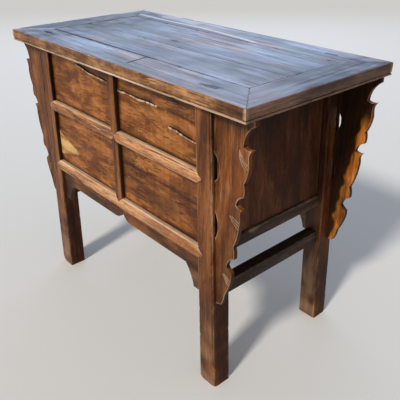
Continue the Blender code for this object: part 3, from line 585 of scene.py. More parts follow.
# A brighter orange wood, as a painted sunlit highlight on the inner sides of the wings
INNER_HIGHLIGHT_WOOD = aged_wood(
    "inner_highlight_wood", (0.12, 0.028, 0.004), (0.42, 0.122, 0.015), (0.70, 0.238, 0.034),
    (0.80, 0.38, 0.090), (0.016, 0.006, 0.003), wear_width=1.0, dirt_and_shade_width=4.0, soot=0.6, bump=0.7)
# A darker copy of the wood, as painted shade on the ends, the undersides and faces that look along the length
PAINTED_SHADE_WOOD = aged_wood(
    "painted_shade_wood", (0.031, 0.0076, 0.0022), (0.077, 0.0195, 0.0054), (0.136, 0.038, 0.0105),
    (0.20, 0.09, 0.04), (0.012, 0.006, 0.003), wear_width=2.0, dirt_and_shade_width=8.0, rough=(0.5, 0.65), coat=0.0,
    shine=0.12, scratched=0.15)
EDGE_WOOD = aged_wood(
    "edge_wood", (0.130, 0.048, 0.016), (0.47, 0.195, 0.068), (0.78, 0.385, 0.152),
    (0.84, 0.54, 0.32), (0.025, 0.011, 0.006), bare=((0.62, 0.40, 0.24), (0.84, 0.64, 0.48)),
    wear_width=2.0, dirt_and_shade_width=4.0, ring_share=0.06, drip_share=0.24, film_run=7.0, checks=0.8,
    scratched=0.6, soot=0.5, bump=0.7)
# A darker copy of the edge wood, as painted shade on the end edges of the top
END_EDGE_SHADE_WOOD = aged_wood(
    "end_edge_shade_wood", (0.048, 0.021, 0.012), (0.152, 0.070, 0.041), (0.27, 0.135, 0.080),
    (0.40, 0.25, 0.16), (0.018, 0.009, 0.006), wear_width=2.0, dirt_and_shade_width=4.0)
# A dark wood for the rails of the ends, as painted shade
END_RAIL_SHADE_WOOD = aged_wood(
    "end_rail_shade_wood", (0.014, 0.0058, 0.0028), (0.038, 0.0165, 0.0084), (0.078, 0.037, 0.019),
    (0.22, 0.14, 0.09), (0.012, 0.006, 0.003), bare=((0.20, 0.11, 0.06), (0.36, 0.23, 0.14)),
    wear_width=2.5, dirt_and_shade_width=6.0, shine=0.12)
BARE_WOOD = aged_wood(
    "bare_wood", (0.20, 0.12, 0.06), (0.33, 0.21, 0.115), (0.43, 0.29, 0.17),
    (0.54, 0.39, 0.25), (0.10, 0.06, 0.035), rough=(0.6, 0.75), coat=0.0)
# The top's bluish colours are a painted reflection of the sky in its lacquer, and its pale scrape colour also
# paints sheen
TOP_LACQUER = bloomed_and_reflecting_lacquer(
    "top_lacquer", (0.011, 0.010, 0.013), ((0.018, 0.032, 0.078), (0.085, 0.150, 0.370)),
    ((0.100, 0.074, 0.066), (0.400, 0.290, 0.275)), (0.200, 0.178, 0.285), (0.010, 0.008, 0.009),
    (0.62, 0.60, 0.70))
BRASS = dull_brass("dull_brass")


# Dressing one wooden node

WAVE_SIZE = 0.07


def dress(node, along, *woods, chooser=None, step=0.009, lean=0.06, ease=0.0012, bold=1.0, shortest=0.03,
          arris=None, worn=True, dirty=False, waves=0.0004, rows=(), shapes=()):
    """Copies a wooden node, softens it, and keeps where its grain, ridges and corners are.

    Ridges down to the shortest length are rounded, and down to the arris length they are rubbed.
    A panel is not worn at its ridges, which sit in grooves: they are where its dirt and painted shade gather.
    The shapes are steps that carve or stain the sheet of places before it is written back.
    """
    piece = copy_node(node)
    ridges, hollows = edge_points(piece, shortest if arris is None else arris)
    if ease:
        soften(piece, ease, shortest, bold)
    slice_up(piece, step, rows)
    places = read_rows(piece, "co")
    sheet = SimpleNamespace(
        places=places.copy(),
        inward=read_rows(piece, "normal") * -1,
        ridge=distances(places, ridges if worn else []),
        nook=distances(places, ridges if dirty else hollows),
        mark=numpy.zeros(len(places)),
        stain=numpy.zeros(len(places)),
        split=numpy.full(len(places), -FAR_FROM_EDGE))
    note(piece, "grain", grain_places(places, along, lean))
    if waves:
        press(sheet, ripple(places, WAVE_SIZE, len(bpy.data.objects)) * waves)
    for shape in shapes:
        shape(sheet)
    for layer in ("ridge", "nook", "mark", "stain", "split"):
        note(piece, layer, getattr(sheet, layer))
    write_places(piece, sheet.places)
    finish_piece(piece, node)
    paint_faces(piece, woods, chooser)
    return piece


def press(sheet, depth):
    """Pushes the places of a sheet inward."""
    sheet.places += sheet.inward * depth[:, None]


def outer(sheet, axis, side):
    """Which places of a sheet are on the face that looks to that side."""
    return -sheet.inward[:, axis] * side > FACING


def deepen(sheet, layer, values):
    """Raises a layer of marks to the values given, wherever it is lower."""
    setattr(sheet, layer, numpy.maximum(getattr(sheet, layer), values))


# Marks of age, painted highlights and painted shade: where they begin and end, in metres, but in millimetres
# from a ridge

NEAR_RIDGE = (0.5, 8.0)
LEDGE_CUTS = (-0.006, -0.0035, -0.0008, 0.0008, 0.0035)
LEDGE_ENDS = (0.0, 0.02)
LEDGE_LIP = 0.003
LEDGE_PULL = 0.02
PATCH_EDGE = (-0.001, 0.003)
BEAD = (0.8195, 0.8225)
BEAD_END = (0.05, 0.25)
FOOT = (0.002, 0.022)
INSIDE_SHADE_LEVEL = (0.025, 0.070)
BLEACHED_LEG = (0.02, 0.30)
GREY_LEG = (0.22, 0.42)
RECESS_FOOT = (0.42, 0.45)
APRON_ENDS = (0.24, 0.33)
APRON_TIP = (0.335, 0.352)
UNDER_TOP = (0.60, 0.80)
PANEL_FRONT = (-0.02, 0.17)
PALE_SPOT_PLACE = (0.090, 0.446)
PALE_SPOT_SIZE = (0.020, 0.010)
FOOT_CHIPS = 0.0024
CORNER_SIZE = (0.003, 0.011)

# How strong they are, from 0 for none to 1 for black dirt, black painted shade, bare wood or a full highlight
LEDGE_DIRT = 0.55
BEAD_HIGHLIGHT_FADE = 0.65
RAIL_HIGHLIGHT = 0.65
RAIL_SHADE = 0.6
FOOT_WEAR = 0.9
LEG_BLEACH = 0.38
LEG_DIRT = 0.52
TENON_DIRT = 0.62
RECESS_SHADE = 0.88
APRON_DIRT_AND_SHADE = 0.5
APRON_LEFT_SHADE = 0.55
APRON_RIGHT_SHADOW = 0.78
APRON_TIP_HIGHLIGHT = 0.5
PALE_SPOT_STRENGTH = 0.75
STRETCHER_TOP_SHADE = 0.70
INSIDE_SHADE = 0.72
UNDER_TOP_SHADE = 0.8
END_PANEL_SHADE = 0.42
CORNER_SHEEN = 0.17
CORNER_WEAR = 0.8


def later(shape):
    """Lets a shape take its sizes first, and the sheet of the piece that it is for later."""
    return lambda *sizes: lambda sheet: shape(sheet, *sizes)


def ledge_rows(line):
    """The cuts that a torn ledge needs, just above and below its mean level."""
    level = numpy.mean([place[1] for place in line])
    return [(Z, level + step) for step in LEDGE_CUTS]


@later
def torn_ledge(sheet, line, height, depth, side):
    """A split along the grain of a panel, where the wood above it is torn away and has gone dark."""
    starts, levels = zip(*sorted(line))
    level = numpy.mean(levels)
    places = sheet.places
    run = places[:, X]
    above = places[:, Z] - level
    inside = numpy.minimum(run - starts[0], starts[-1] - run)
    face = outer(sheet, Y, side)
    torn = face * soft_step(inside, *LEDGE_ENDS) * (above > 0) * (1 - soft_step(above, LEDGE_LIP, height))
    press(sheet, depth * torn)
    deepen(sheet, "stain", LEDGE_DIRT * torn)
    far = numpy.hypot(above, numpy.minimum(inside, 0)) * MILLIMETRES
    nearer = face & (far < numpy.abs(sheet.split))
    sheet.split = numpy.where(nearer, numpy.where(above > 0, far, -far), sheet.split)
    near = numpy.exp(-(above / LEDGE_PULL) ** 2)
    places[:, Z] += (numpy.interp(run, starts, levels) - level) * near


@later
def bare_patch(sheet, corners, side):
    """A three-cornered patch where the finish is gone."""
    corners = [numpy.array(corner) for corner in corners]
    flat = sheet.places[:, (X, Z)]
    inside = numpy.full(len(flat), numpy.inf)
    for first, second in zip(corners, corners[1:] + corners[:1]):
        along = (second - first) / numpy.linalg.norm(second - first)
        across = numpy.array((-along[1], along[0]))
        across = across * numpy.sign((sum(corners) / 3 - first) @ across)
        inside = numpy.minimum(inside, (flat - first) @ across)
    patch = soft_step(inside, *PATCH_EDGE) * outer(sheet, Y, side)
    deepen(sheet, "mark", patch)
    deepen(sheet, "nook", FAR_FROM_EDGE * patch)


@later
def dark_spot(sheet, centre, radii, axes, strength):
    """A dark spot with soft edges, used for dirt and for painted shade, on faces that look out across the two
    axes given.
    """
    facing = ({X, Y, Z} - set(axes)).pop()
    far = numpy.linalg.norm((sheet.places[:, axes] - numpy.array(centre)) / numpy.array(radii), axis=1)
    spot = strength * (1 - soft_step(far, 0.5, 1.2)) * (numpy.abs(sheet.inward[:, facing]) > STEEP)
    deepen(sheet, "stain", spot)


@later
def drawn_line(sheet, layer, line, width, strength, axes=(X, Y)):
    """A pale scrape, a dark seam, or a band of painted shade, drawn along a line."""
    far = way_to_line(sheet.places[:, axes], line)
    deepen(sheet, layer, strength * (1 - soft_step(far, 0.35 * width, width)))


# How dirty the long edges of the top are along their length, as (x, share)
EDGE_DIRT = [(-0.53, 0.66), (-0.45, 0.55), (-0.37, 0.15), (-0.28, 0.36), (-0.14, 0.00),
             (-0.04, 0.50), (0.30, 0.58), (0.53, 0.44)]
EDGE_PLACES, EDGE_SHARES = zip(*EDGE_DIRT)

# The corner of the top over the back left leg, which is paler, and how far that reaches
PALE_CORNER = (-0.490, 0.215)
PALE_REACH = (0.05, 0.17)

# Where along its length the top is cleanest, how it darkens from there, and where its painted sheen begins
# and ends
TOP_CLEANEST = -0.07
TOP_FADE = (0.18, 0.45)
SHEEN_START = (-0.05, 0.20)
SHEEN_END = (0.36, 0.46)


def near_corner(sheet):
    """One at the pale corner of the top, and none a hand's breadth and more away from it."""
    far = numpy.linalg.norm(sheet.places[:, (X, Y)] - numpy.array(PALE_CORNER), axis=1)
    return 1 - soft_step(far, *PALE_REACH)


@later
def fade_to_ends(sheet, strength):
    """The top darkens towards its ends, but not at the pale corner, and its long edges are dirty in parts."""
    run = sheet.places[:, X]
    face = strength * soft_step(numpy.abs(run - TOP_CLEANEST), *TOP_FADE) * (1 - 0.9 * near_corner(sheet))
    edge = numpy.interp(run, EDGE_PLACES, EDGE_SHARES)
    dark = numpy.where(numpy.abs(sheet.inward[:, Y]) > LOOKING, edge, face)
    patches = 0.55 + 0.9 * ripple(sheet.places, 0.03, 8)
    deepen(sheet, "stain", numpy.clip(dark * patches, 0, 1))


def lit_lower_bead(sheet):
    """The lowest bead of the long edge gets a painted highlight, weaker towards the right end."""
    places = sheet.places
    low = 1 - soft_step(places[:, Z], *BEAD)
    rubbed = low * soft_step(numpy.abs(sheet.inward[:, Y]), 0.2, 0.5)
    rubbed = rubbed * at_least(0.5, ripple(places, 0.05, 1))
    rubbed *= 1 - BEAD_HIGHLIGHT_FADE * soft_step(places[:, X], *BEAD_END)
    deepen(sheet, "mark", rubbed)
    sheet.stain *= 1 - rubbed


def lit_and_shaded_round(sheet):
    """The upper side of a rounded rail gets a painted highlight in patches, a painted shade line along its
    rounding, and painted shade on its underside.
    """
    up = -sheet.inward[:, Z]
    patches = at_least(0.45, soft_step(ripple(sheet.places, 0.09, 7), 0.3, 0.6))
    deepen(sheet, "mark", RAIL_HIGHLIGHT * patches * soft_step(up, 0.35, 0.65))
    # A painted shade line along the middle of the rounding
    crack = RAIL_SHADE * patches * numpy.exp(-((up - 0.45) / 0.12) ** 2)
    sheet.stain = numpy.maximum(crack, RAIL_SHADE * soft_step(-up, 0.2, 0.8))


@later
def nicked(sheet, depth, size):
    """Small dents along the ridges."""
    spots = soft_step(ripple(sheet.places, size, 11), 0.62, 0.85)
    press(sheet, depth * spots * (1 - soft_step(sheet.ridge, *NEAR_RIDGE)))


def worn_foot(sheet):
    """A leg is greyer low down, its corners are rubbed there, and its foot is chipped and bleached."""
    places = sheet.places
    height = places[:, Z]
    low = 1 - soft_step(height, *FOOT)
    corner = 1 - soft_step(sheet.ridge, *NEAR_RIDGE)
    chips = soft_step(ripple(places, 0.016, 5), 0.5, 0.75)
    press(sheet, FOOT_CHIPS * low * corner * chips)
    lower = 1 - soft_step(height, *GREY_LEG)
    sheet.ridge *= 1 - 0.55 * lower
    bleached = (1 - soft_step(height, *BLEACHED_LEG)) * soft_step(ripple(places, 0.05, 9), 0.3, 0.65)
    foot = low * at_least(0.25, chips) * at_least(0.35, corner)
    sheet.mark = numpy.maximum(FOOT_WEAR * foot, LEG_BLEACH * bleached * outer(sheet, Y, 1))
    grey = lower * (0.35 + 0.75 * soft_step(ripple(places, 0.04, 4), 0.25, 0.7))
    sheet.stain = numpy.where(height > TOP_FACE, TENON_DIRT, LEG_DIRT * grey)


def shaded_recess(sheet):
    """Sides of the frame that look into a panel's recess get a painted shade, nearly black."""
    places = sheet.places
    inner = numpy.abs(places[:, X]) < POST_REACH
    inner |= sheet.inward[:, X] * places[:, X] > 0
    beside = inner * soft_step(numpy.abs(sheet.inward[:, X]), *SIDEWAYS)
    beside = beside * soft_step(places[:, Z], *RECESS_FOOT) * (places[:, Z] < TOP_FACE)
    deepen(sheet, "stain", RECESS_SHADE * beside)


def shaded_apron(sheet):
    """The apron has painted shade beside the legs and patchy darkening that is dirt and painted shade, and
    one of its brackets gets a painted highlight at its tip.
    """
    places = sheet.places
    near_leg = soft_step(numpy.abs(places[:, X]), *APRON_ENDS)
    pale_end = (1 - soft_step(places[:, Z], *APRON_TIP)) * (places[:, X] < 0)
    ends = numpy.where(places[:, X] > 0, APRON_RIGHT_SHADOW, APRON_LEFT_SHADE * (1 - pale_end))
    deepen(sheet, "stain", ends * near_leg)
    deepen(sheet, "stain", APRON_DIRT_AND_SHADE * soft_step(ripple(places, 0.05, 2), 0.2, 0.7))
    deepen(sheet, "mark", APRON_TIP_HIGHLIGHT * near_leg * pale_end * ripple(places, 0.02, 3))


def pale_spot(sheet):
    """A pale spot on the upper edge of the left end rail."""
    places = sheet.places
    far = numpy.linalg.norm((places[:, (Y, Z)] - numpy.array(PALE_SPOT_PLACE)) / numpy.array(PALE_SPOT_SIZE), axis=1)
    deepen(sheet, "mark", PALE_SPOT_STRENGTH * (1 - soft_step(far, 0.5, 1.0)) * (places[:, X] < 0))


def shaded_upper_side(sheet):
    """The upper side of a stretcher gets a painted shade, nearly black, and its sides are dirty in patches.
    """
    up = -sheet.inward[:, Z]
    patches = 0.7 * ripple(sheet.places, 0.05, 6)
    sheet.stain = numpy.maximum(patches, STRETCHER_TOP_SHADE * soft_step(up, 0.4, 0.8))


def shaded_inside(sheet):
    """The inner side of a leg gets a painted shade above its foot, with a ragged lower edge."""
    places = sheet.places
    inner = sheet.inward[:, Y] * numpy.sign(places[:, Y]) > FACING
    level = places[:, Z] + 0.05 * (ripple(places, 0.03, 12) - 0.5)
    shade_share = INSIDE_SHADE * inner * soft_step(level, *INSIDE_SHADE_LEVEL)
    deepen(sheet, "stain", shade_share * (places[:, Z] < TOP_FACE))


def shaded_under_top(sheet):
    """The ends get a painted shade, nearly black, close under the top."""
    places = sheet.places
    high = soft_step(places[:, Z], *UNDER_TOP) * (places[:, Z] < TOP_FACE)
    deepen(sheet, "stain", UNDER_TOP_SHADE * high * soft_step(numpy.abs(sheet.inward[:, X]), *SIDEWAYS))


def dark_front_half(sheet):
    """An end panel gets a painted shade towards the front of the cabinet."""
    shade_share = END_PANEL_SHADE * soft_step(-sheet.places[:, Y], *PANEL_FRONT)
    deepen(sheet, "stain", shade_share * (0.7 + 0.6 * ripple(sheet.places, 0.07, 13)))


def by_end(normal, middle):
    """Faces that look along the length take the darker wood as painted shade, and the ends of the tenons
    belong to the top.
    """
    if middle.z > TOP_FACE:
        return 2
    return 1 if abs(normal.x) > LOOKING else 0


def by_side(normal, middle):
    """The inner side of a wing takes a brighter wood as a painted sunlit highlight, and its narrow sides take
    the darker wood as painted shade.
    """
    if abs(normal.x) > LOOKING:
        return 1
    return 2 if normal.y < -LOOKING else 0


def by_zone(normal, middle):
    """The top has its upper face, its long edges, its end edges and its underside; the end edges and the
    underside take darker woods as painted shade.
    """
    if normal.z > LOOKING and middle.z > TOP_FACE:
        return 0
    if abs(middle.y) > TOP_OUTER_Y and abs(normal.y) > TURNED:
        return 1
    if abs(middle.x) > TOP_OUTER_X and abs(normal.x) > TURNED:
        return 2
    return 3


# Joints between the frame of the top and its boards
LONG_JOINT = TOP_HALF_DEPTH - 0.104
END_JOINT = TOP_HALF_LENGTH - 0.092
JOINT_WIDTH = 0.0065
WIDE_JOINT = 0.0095
JOINT_CUTS = (-0.0060, -0.0030, 0.0030, 0.0060)
THIN_JOINT = (-0.33, -0.10)
MITRE = [(TOP_HALF_LENGTH, TOP_HALF_DEPTH), (END_JOINT, LONG_JOINT)]


def joint_rows(axis, level):
    """The cuts that a dark joint needs on both its sides."""
    return [(axis, level + step) for step in JOINT_CUTS]


def dark_joint(axis, level):
    """Dirt in a joint of the top: thin at its left end, and thick towards its right end."""
    if axis == X:
        across = [(level, -LONG_JOINT), (level, LONG_JOINT)]
        if level > 0:
            return [drawn_line("stain", across, WIDE_JOINT, 1.0)]
        return [drawn_line("stain", across, JOINT_WIDTH, 0.5)]
    start, middle = THIN_JOINT
    thin = drawn_line("stain", [(start, level), (middle, level)], JOINT_WIDTH, 0.55)
    thick = drawn_line("stain", [(middle, level), (END_JOINT, level)], JOINT_WIDTH, 1.0)
    return [thin, thick]


@later
def painted_near_sheen(sheet, strength):
    """A whitish painted sheen on the left half of the top, and at its pale corner."""
    places = sheet.places
    near = soft_step(-places[:, X], *SHEEN_START) * (1 - soft_step(-places[:, X], *SHEEN_END))
    patches = soft_step(ripple(places, 0.06, 5), 0.25, 0.7)
    near_sheen_share = numpy.maximum(strength * near * patches, CORNER_SHEEN * near_corner(sheet))
    deepen(sheet, "mark", near_sheen_share * outer(sheet, Z, 1))


def worn_corners(sheet):
    """The upright corners of the top are rubbed pale."""
    places = sheet.places
    far = numpy.hypot(numpy.abs(places[:, X]) - TOP_HALF_LENGTH, numpy.abs(places[:, Y]) - TOP_HALF_DEPTH)
    upright = numpy.abs(sheet.inward[:, Z]) < STEEP
    rubbed = CORNER_WEAR * (1 - soft_step(far, *CORNER_SIZE)) * upright
    deepen(sheet, "mark", rubbed)
    sheet.stain *= 1 - rubbed


# Pieces of the top: which way the grain runs, the extra cuts, then the scrapes, seams and stains, with
# painted sheen, highlight and shade among them
SCARF_ROWS = [(X, -0.055 - 0.0018 * step) for step in range(14)]
SCRAPE_ROWS = [(Y, -0.164 - 0.0025 * step) for step in range(14)]
TENON_ROWS = [(Y, 0.1985 + 0.0030 * step) for step in range(8)]
TOP_PIECES = {
    "top_frame_back": (X, SCARF_ROWS + TENON_ROWS + joint_rows(Y, LONG_JOINT), [
        drawn_line("stain", [(-0.0593, 0.1367), (-0.0762, 0.2314)], 0.0050, 1.0),
        drawn_line("stain", [(-0.336, 0.2162), (-0.376, 0.2150)], 0.0060, 0.8),
        drawn_line("stain", [(-0.364, 0.2045), (-0.402, 0.2035)], 0.0060, 0.8),
        drawn_line("mark", MITRE, 0.0080, 0.55),
        painted_near_sheen(0.07),
        *dark_joint(Y, LONG_JOINT),
        dark_spot((0.400, 0.200), (0.040, 0.010), (X, Y), 0.95),
        dark_spot((0.010, 0.847), (0.020, 0.014), (X, Z), 0.75),
        dark_spot((0.313, 0.844), (0.024, 0.010), (X, Z), 0.6),
        lit_lower_bead]),
    "top_frame_front": (X, SCRAPE_ROWS, [
        *dark_joint(Y, -LONG_JOINT),
        drawn_line("mark", [(0.127, -0.193), (-0.066, -0.179), (-0.138, -0.169)], 0.008, 1.0),
        drawn_line("mark", [(0.451, -0.192), (0.294, -0.189), (0.113, -0.192)], 0.008, 0.9),
        drawn_line("mark", [(0.360, -0.231), (0.264, -0.231), (0.187, -0.223)], 0.026, 0.5),
        drawn_line("mark", [(0.515, -0.256), (0.300, -0.256)], 0.012, 0.8),
        lit_lower_bead]),
    "top_frame_left": (Y, joint_rows(X, -END_JOINT), [*dark_joint(X, -END_JOINT), painted_near_sheen(0.07)]),
    "top_frame_right": (Y, joint_rows(X, END_JOINT), [
        *dark_joint(X, END_JOINT),
        # A broad band of painted shade along the right end member
        drawn_line("stain", [(0.495, 0.24), (0.495, 0.02)], 0.060, 0.62),
        drawn_line("mark", MITRE, 0.0080, 0.55),
        drawn_line("mark", [(0.521, -0.250), (0.521, -0.140)], 0.012, 0.8)]),
    "top_board_back": (X, joint_rows(Y, LONG_JOINT), [
        *dark_joint(Y, LONG_JOINT),
        painted_near_sheen(0.16),
        drawn_line("mark", [(-0.237, 0.023), (-0.440, 0.006)], 0.010, 0.3)]),
    "top_board_front": (X, [], [
        dark_spot((-0.050, -0.128), (0.110, 0.022), (X, Y), 0.35),
        dark_spot((0.034, -0.010), (0.030, 0.008), (X, Y), 0.9),
        dark_spot((0.056, -0.114), (0.030, 0.006), (X, Y), 0.7)]),
}


def dress_top():
    for node, (along, rows, marks) in TOP_PIECES.items():
        dress(node, along, TOP_LACQUER, EDGE_WOOD, END_EDGE_SHADE_WOOD, PAINTED_SHADE_WOOD, chooser=by_zone, step=0.011,
              lean=0.03, bold=3.0, shortest=0.05, arris=0.02, waves=0.0006, rows=rows,
              shapes=[nicked(0.0016, 0.014), fade_to_ends(0.58), *marks, worn_corners])
    for end in ENDS:
        dress("top_batten_" + end, Y, PAINTED_SHADE_WOOD, step=0.03)


def dress_legs():
    shapes = [worn_foot, shaded_inside, shaded_recess, shaded_under_top, nicked(0.0015, 0.012)]
    for end in ENDS:
        for side in ("back", "front"):
            dress(f"leg_{side}_{end}", Z, FRAME_WOOD, PAINTED_SHADE_WOOD, TOP_LACQUER, chooser=by_end, step=0.009,
                  lean=0.02, shortest=0.06, shapes=shapes)


# Carved veins of a spandrel, each a line of (way out from the leg, height)
VEINS = [
    [(0.0779, 0.7405), (0.0773, 0.7219), (0.0850, 0.7080), (0.0960, 0.6960)],
    [(0.0805, 0.7340), (0.0825, 0.7205), (0.0935, 0.7085), (0.1040, 0.7000)],
    [(0.0840, 0.7290), (0.0910, 0.7175), (0.1010, 0.7105), (0.1120, 0.7070)],
    [(0.0468, 0.5677), (0.0545, 0.5575), (0.0650, 0.5480), (0.0790, 0.5395)],
    [(0.0500, 0.5690), (0.0600, 0.5600), (0.0715, 0.5530), (0.0820, 0.5490)],
    [(0.0560, 0.5690), (0.0690, 0.5625), (0.0837, 0.5590)],
    [(0.0229, 0.3942), (0.0300, 0.3830), (0.0390, 0.3720), (0.0473, 0.3635)],
    [(0.0252, 0.3950), (0.0345, 0.3855), (0.0440, 0.3770), (0.0520, 0.3715)],
    [(0.0290, 0.3955), (0.0415, 0.3880), (0.0539, 0.3815)],
]

# Depths in metres and widths in millimetres of the carving
VEIN_DEPTH = 0.0014
VEIN_WIDTH = 2.0
RIM_WIDTH = 2.2
RIM_HEIGHT = 0.0012

# Where a wing gets painted shade: low, high and beside its leg, and on its inner side a painted shadow up to
# a reach that grows from its foot
WING_LOW = (0.42, 0.58)
WING_HIGH = (0.755, 0.80)
WING_ROOT = (0.002, 0.020)
WING_REACH = (0.028, 0.185)
WING_FOOT = 0.33
WING_TOP_SHADOW = (0.66, 0.72)

# How dark the painted shade is there and the dirt in its veins, how pale its rim is with wear and painted
# highlight, and how finely it is cut
WING_SHADE = 0.62
ROOT_SHADE = 0.40
INNER_SHADOW = 0.95
VEIN_DIRT = 0.55
RIM_WEAR_AND_HIGHLIGHT = 0.6
WING_STEP = 0.0018


def carve_wing(sheet):
    """A raised rim along the outline, rubbed and with a painted highlight, veins that sweep out from each
    hook, painted shade low, high and beside the leg, and on the inner side a painted shadow that leaves a lit
    strip along the outline.
    """
    places = sheet.places
    face = outer(sheet, Y, 1)
    flat = numpy.column_stack((numpy.abs(places[:, X]) - leg_x(places[:, Z]), places[:, Z]))
    vein = numpy.min([way_to_line(flat, line) for line in VEINS], axis=0) * MILLIMETRES
    sunk = RIM_HEIGHT * soft_step(sheet.ridge, RIM_WIDTH, RIM_WIDTH * 2)
    groove = VEIN_DEPTH * (1 - soft_step(numpy.abs(vein - VEIN_WIDTH), 0.3, VEIN_WIDTH))
    press(sheet, face * numpy.where(sheet.ridge > 1.0, sunk + groove, 0.0))
    worn = at_least(0.45, soft_step(ripple(places, 0.03, 2), 0.35, 0.65))
    rim = worn * (1 - soft_step(sheet.ridge, 0.8, 3.2))
    line = at_least(0.5, ripple(places, 0.012, 6)) * (1 - soft_step(vein, 0.4, 1.7))
    sheet.mark = face * numpy.maximum(RIM_WEAR_AND_HIGHLIGHT * rim, line)
    sheet.stain = VEIN_DIRT * face * (1 - soft_step(numpy.abs(vein - VEIN_WIDTH), 0.2, 1.6)) * (1 - line)
    # Painted shade low, high and beside the leg on the carved face
    lower = WING_SHADE * (1 - soft_step(places[:, Z], *WING_LOW))
    upper = WING_SHADE * soft_step(places[:, Z], *WING_HIGH)
    beside = ROOT_SHADE * (1 - soft_step(flat[:, 0], *WING_ROOT))
    painted_wing_shade = numpy.maximum(numpy.maximum(lower, upper), beside)
    deepen(sheet, "stain", painted_wing_shade * (1 - sheet.mark))
    # On the inner side, a painted shadow of the near wing and of the top, leaving a lit strip along the
    # outline
    reach = WING_REACH[0] + WING_REACH[1] * (places[:, Z] - WING_FOOT)
    reach = reach + 0.030 * (ripple(places, 0.03, 3) - 0.5)
    sooty = 1 - soft_step(flat[:, 0], reach - 0.020, reach - 0.012)
    sooty = numpy.maximum(sooty, soft_step(places[:, Z], *WING_TOP_SHADOW))
    sheet.stain = numpy.where(outer(sheet, Y, -1), INNER_SHADOW * sooty, sheet.stain)


def change_layer(mesh, name, field, width, change):
    """Changes the values of one of a mesh's layers, which has that many numbers for each vertex."""
    layer = mesh.attributes[name].data
    values = numpy.empty(len(mesh.vertices) * width, numpy.float32)
    layer.foreach_get(field, values)
    layer.foreach_set(field, change(values.reshape(-1, width)).astype(numpy.float32).ravel())


def mirror_piece(source, node, flip, marked=1.0, dimmed=0.0):
    """A copy of a dressed piece with its own mesh, turned over to the place of another node."""
    mesh = source.data.copy()
    piece = bpy.data.objects.new("dressed_" + node, mesh)
    bpy.context.scene.collection.objects.link(piece)
    write_places(piece, read_rows(piece, "co") * numpy.array(flip))
    if math.prod(flip) < 0:
        mesh.flip_normals()
    shift = (chance.uniform(*MIRROR_SHIFT), 0, 0)
    change_layer(mesh, "grain", "vector", 3, lambda log: log + numpy.array(shift))
    change_layer(mesh, "mark", "value", 1, lambda marks: marks * marked)
    change_layer(mesh, "stain", "value", 1, lambda stains: numpy.maximum(stains, dimmed))
    finish_piece(piece, node)


def dress_spandrels():
    step = WING_STEP
    first = dress("spandrel_back_left", Z, CARVED_WOOD, PAINTED_SHADE_WOOD, INNER_HIGHLIGHT_WOOD, chooser=by_side, step=step,
                  lean=0.03, ease=0.0, shortest=0.0, waves=0.0, shapes=[carve_wing])
    mirror_piece(first, "spandrel_back_right", (-1, 1, 1), marked=0.35, dimmed=0.25)
    mirror_piece(first, "spandrel_front_left", (1, -1, 1))
    mirror_piece(first, "spandrel_front_right", (-1, -1, 1))


# Rails of the long faces
RAILS = {"back": ("mid_rail", "bottom_rail"), "front": ("drawer_rail", "bottom_rail")}

# Panels with their torn ledges (line, height, depth), eroded bands, dark spots (centre, radii), bare patch
PANELS = ["back_panel_upper_left", "back_panel_upper_right", "back_panel_lower_left",
          "back_panel_lower_right", "front_panel_lower_left", "front_panel_lower_right"]
LEDGES = {
    "back_panel_upper_left": [
        ([(-0.020, 0.7667), (-0.073, 0.7665), (-0.111, 0.7641), (-0.150, 0.7662), (-0.184, 0.7654)],
         0.020, 0.0024),
        ([(-0.237, 0.7233), (-0.264, 0.7219), (-0.290, 0.7169), (-0.335, 0.7115)], 0.016, 0.0030)],
    "back_panel_upper_right": [
        ([(0.200, 0.7950), (0.176, 0.7920), (0.128, 0.7821), (0.082, 0.7805), (0.025, 0.7757)],
         0.024, 0.0030)],
}
BANDS = {
    "back_panel_upper_left": [[(-0.193, 0.7600), (-0.230, 0.7638), (-0.273, 0.7624), (-0.330, 0.7575)]],
    "back_panel_upper_right": [[(0.097, 0.7708), (0.043, 0.7647)]],
    "back_panel_lower_left": [[(-0.030, 0.5590), (-0.148, 0.5570), (-0.255, 0.5529), (-0.345, 0.5483)]],
}
# The long flat spots along the upper edge of the upper panels are painted shadow of the top; the others are
# dirt
SPOTS = {
    "back_panel_upper_left": [((-0.28, 0.795), (0.07, 0.010)), ((-0.142, 0.7040), (0.004, 0.007))],
    "back_panel_upper_right": [((0.050, 0.792), (0.04, 0.008)), ((0.2145, 0.7110), (0.004, 0.012))],
    "back_panel_lower_left": [((-0.20, 0.490), (0.08, 0.035))],
}
BARE_PATCH = [(0.3514, 0.5453), (0.2257, 0.4965), (0.3524, 0.4625)]
PATCH_PANEL = "back_panel_lower_right"
BAND_WIDTH = 0.006
BAND_DIRT = 0.6
SPOT_DIRT_AND_SHADE = 0.55


def dress_faces():
    for side, rails in RAILS.items():
        for rail in rails:
            dress(f"{side}_{rail}", X, RAIL_WOOD, step=0.010, lean=0.02, shortest=0.08,
                  shapes=[lit_and_shaded_round])
        for post in ("post_upper", "post_lower"):
            dress(f"{side}_{post}", Z, FRAME_WOOD, step=0.010, lean=0.02, shortest=0.05, shapes=[shaded_recess])
        dress(side + "_apron", X, FRAME_WOOD, step=0.008, shortest=0.0, shapes=[shaded_apron])


def dress_panels():
    for node in PANELS:
        rows = []
        shapes = []
        side = 1 if node.startswith("back") else -1
        for line, height, depth in LEDGES.get(node, ()):
            rows += ledge_rows(line)
            shapes.append(torn_ledge(line, height, depth, side))
        for line in BANDS.get(node, ()):
            rows += ledge_rows(line)
            shapes.append(drawn_line("stain", line, BAND_WIDTH, BAND_DIRT, (X, Z)))
        if node == PATCH_PANEL:
            shapes.append(bare_patch(BARE_PATCH, side))
        for centre, radii in SPOTS.get(node, ()):
            shapes.append(dark_spot(centre, radii, (X, Z), SPOT_DIRT_AND_SHADE))
        dress(node, X, PANEL_WOOD, step=0.006, lean=0.10, worn=False, dirty=True, rows=rows, shapes=shapes)


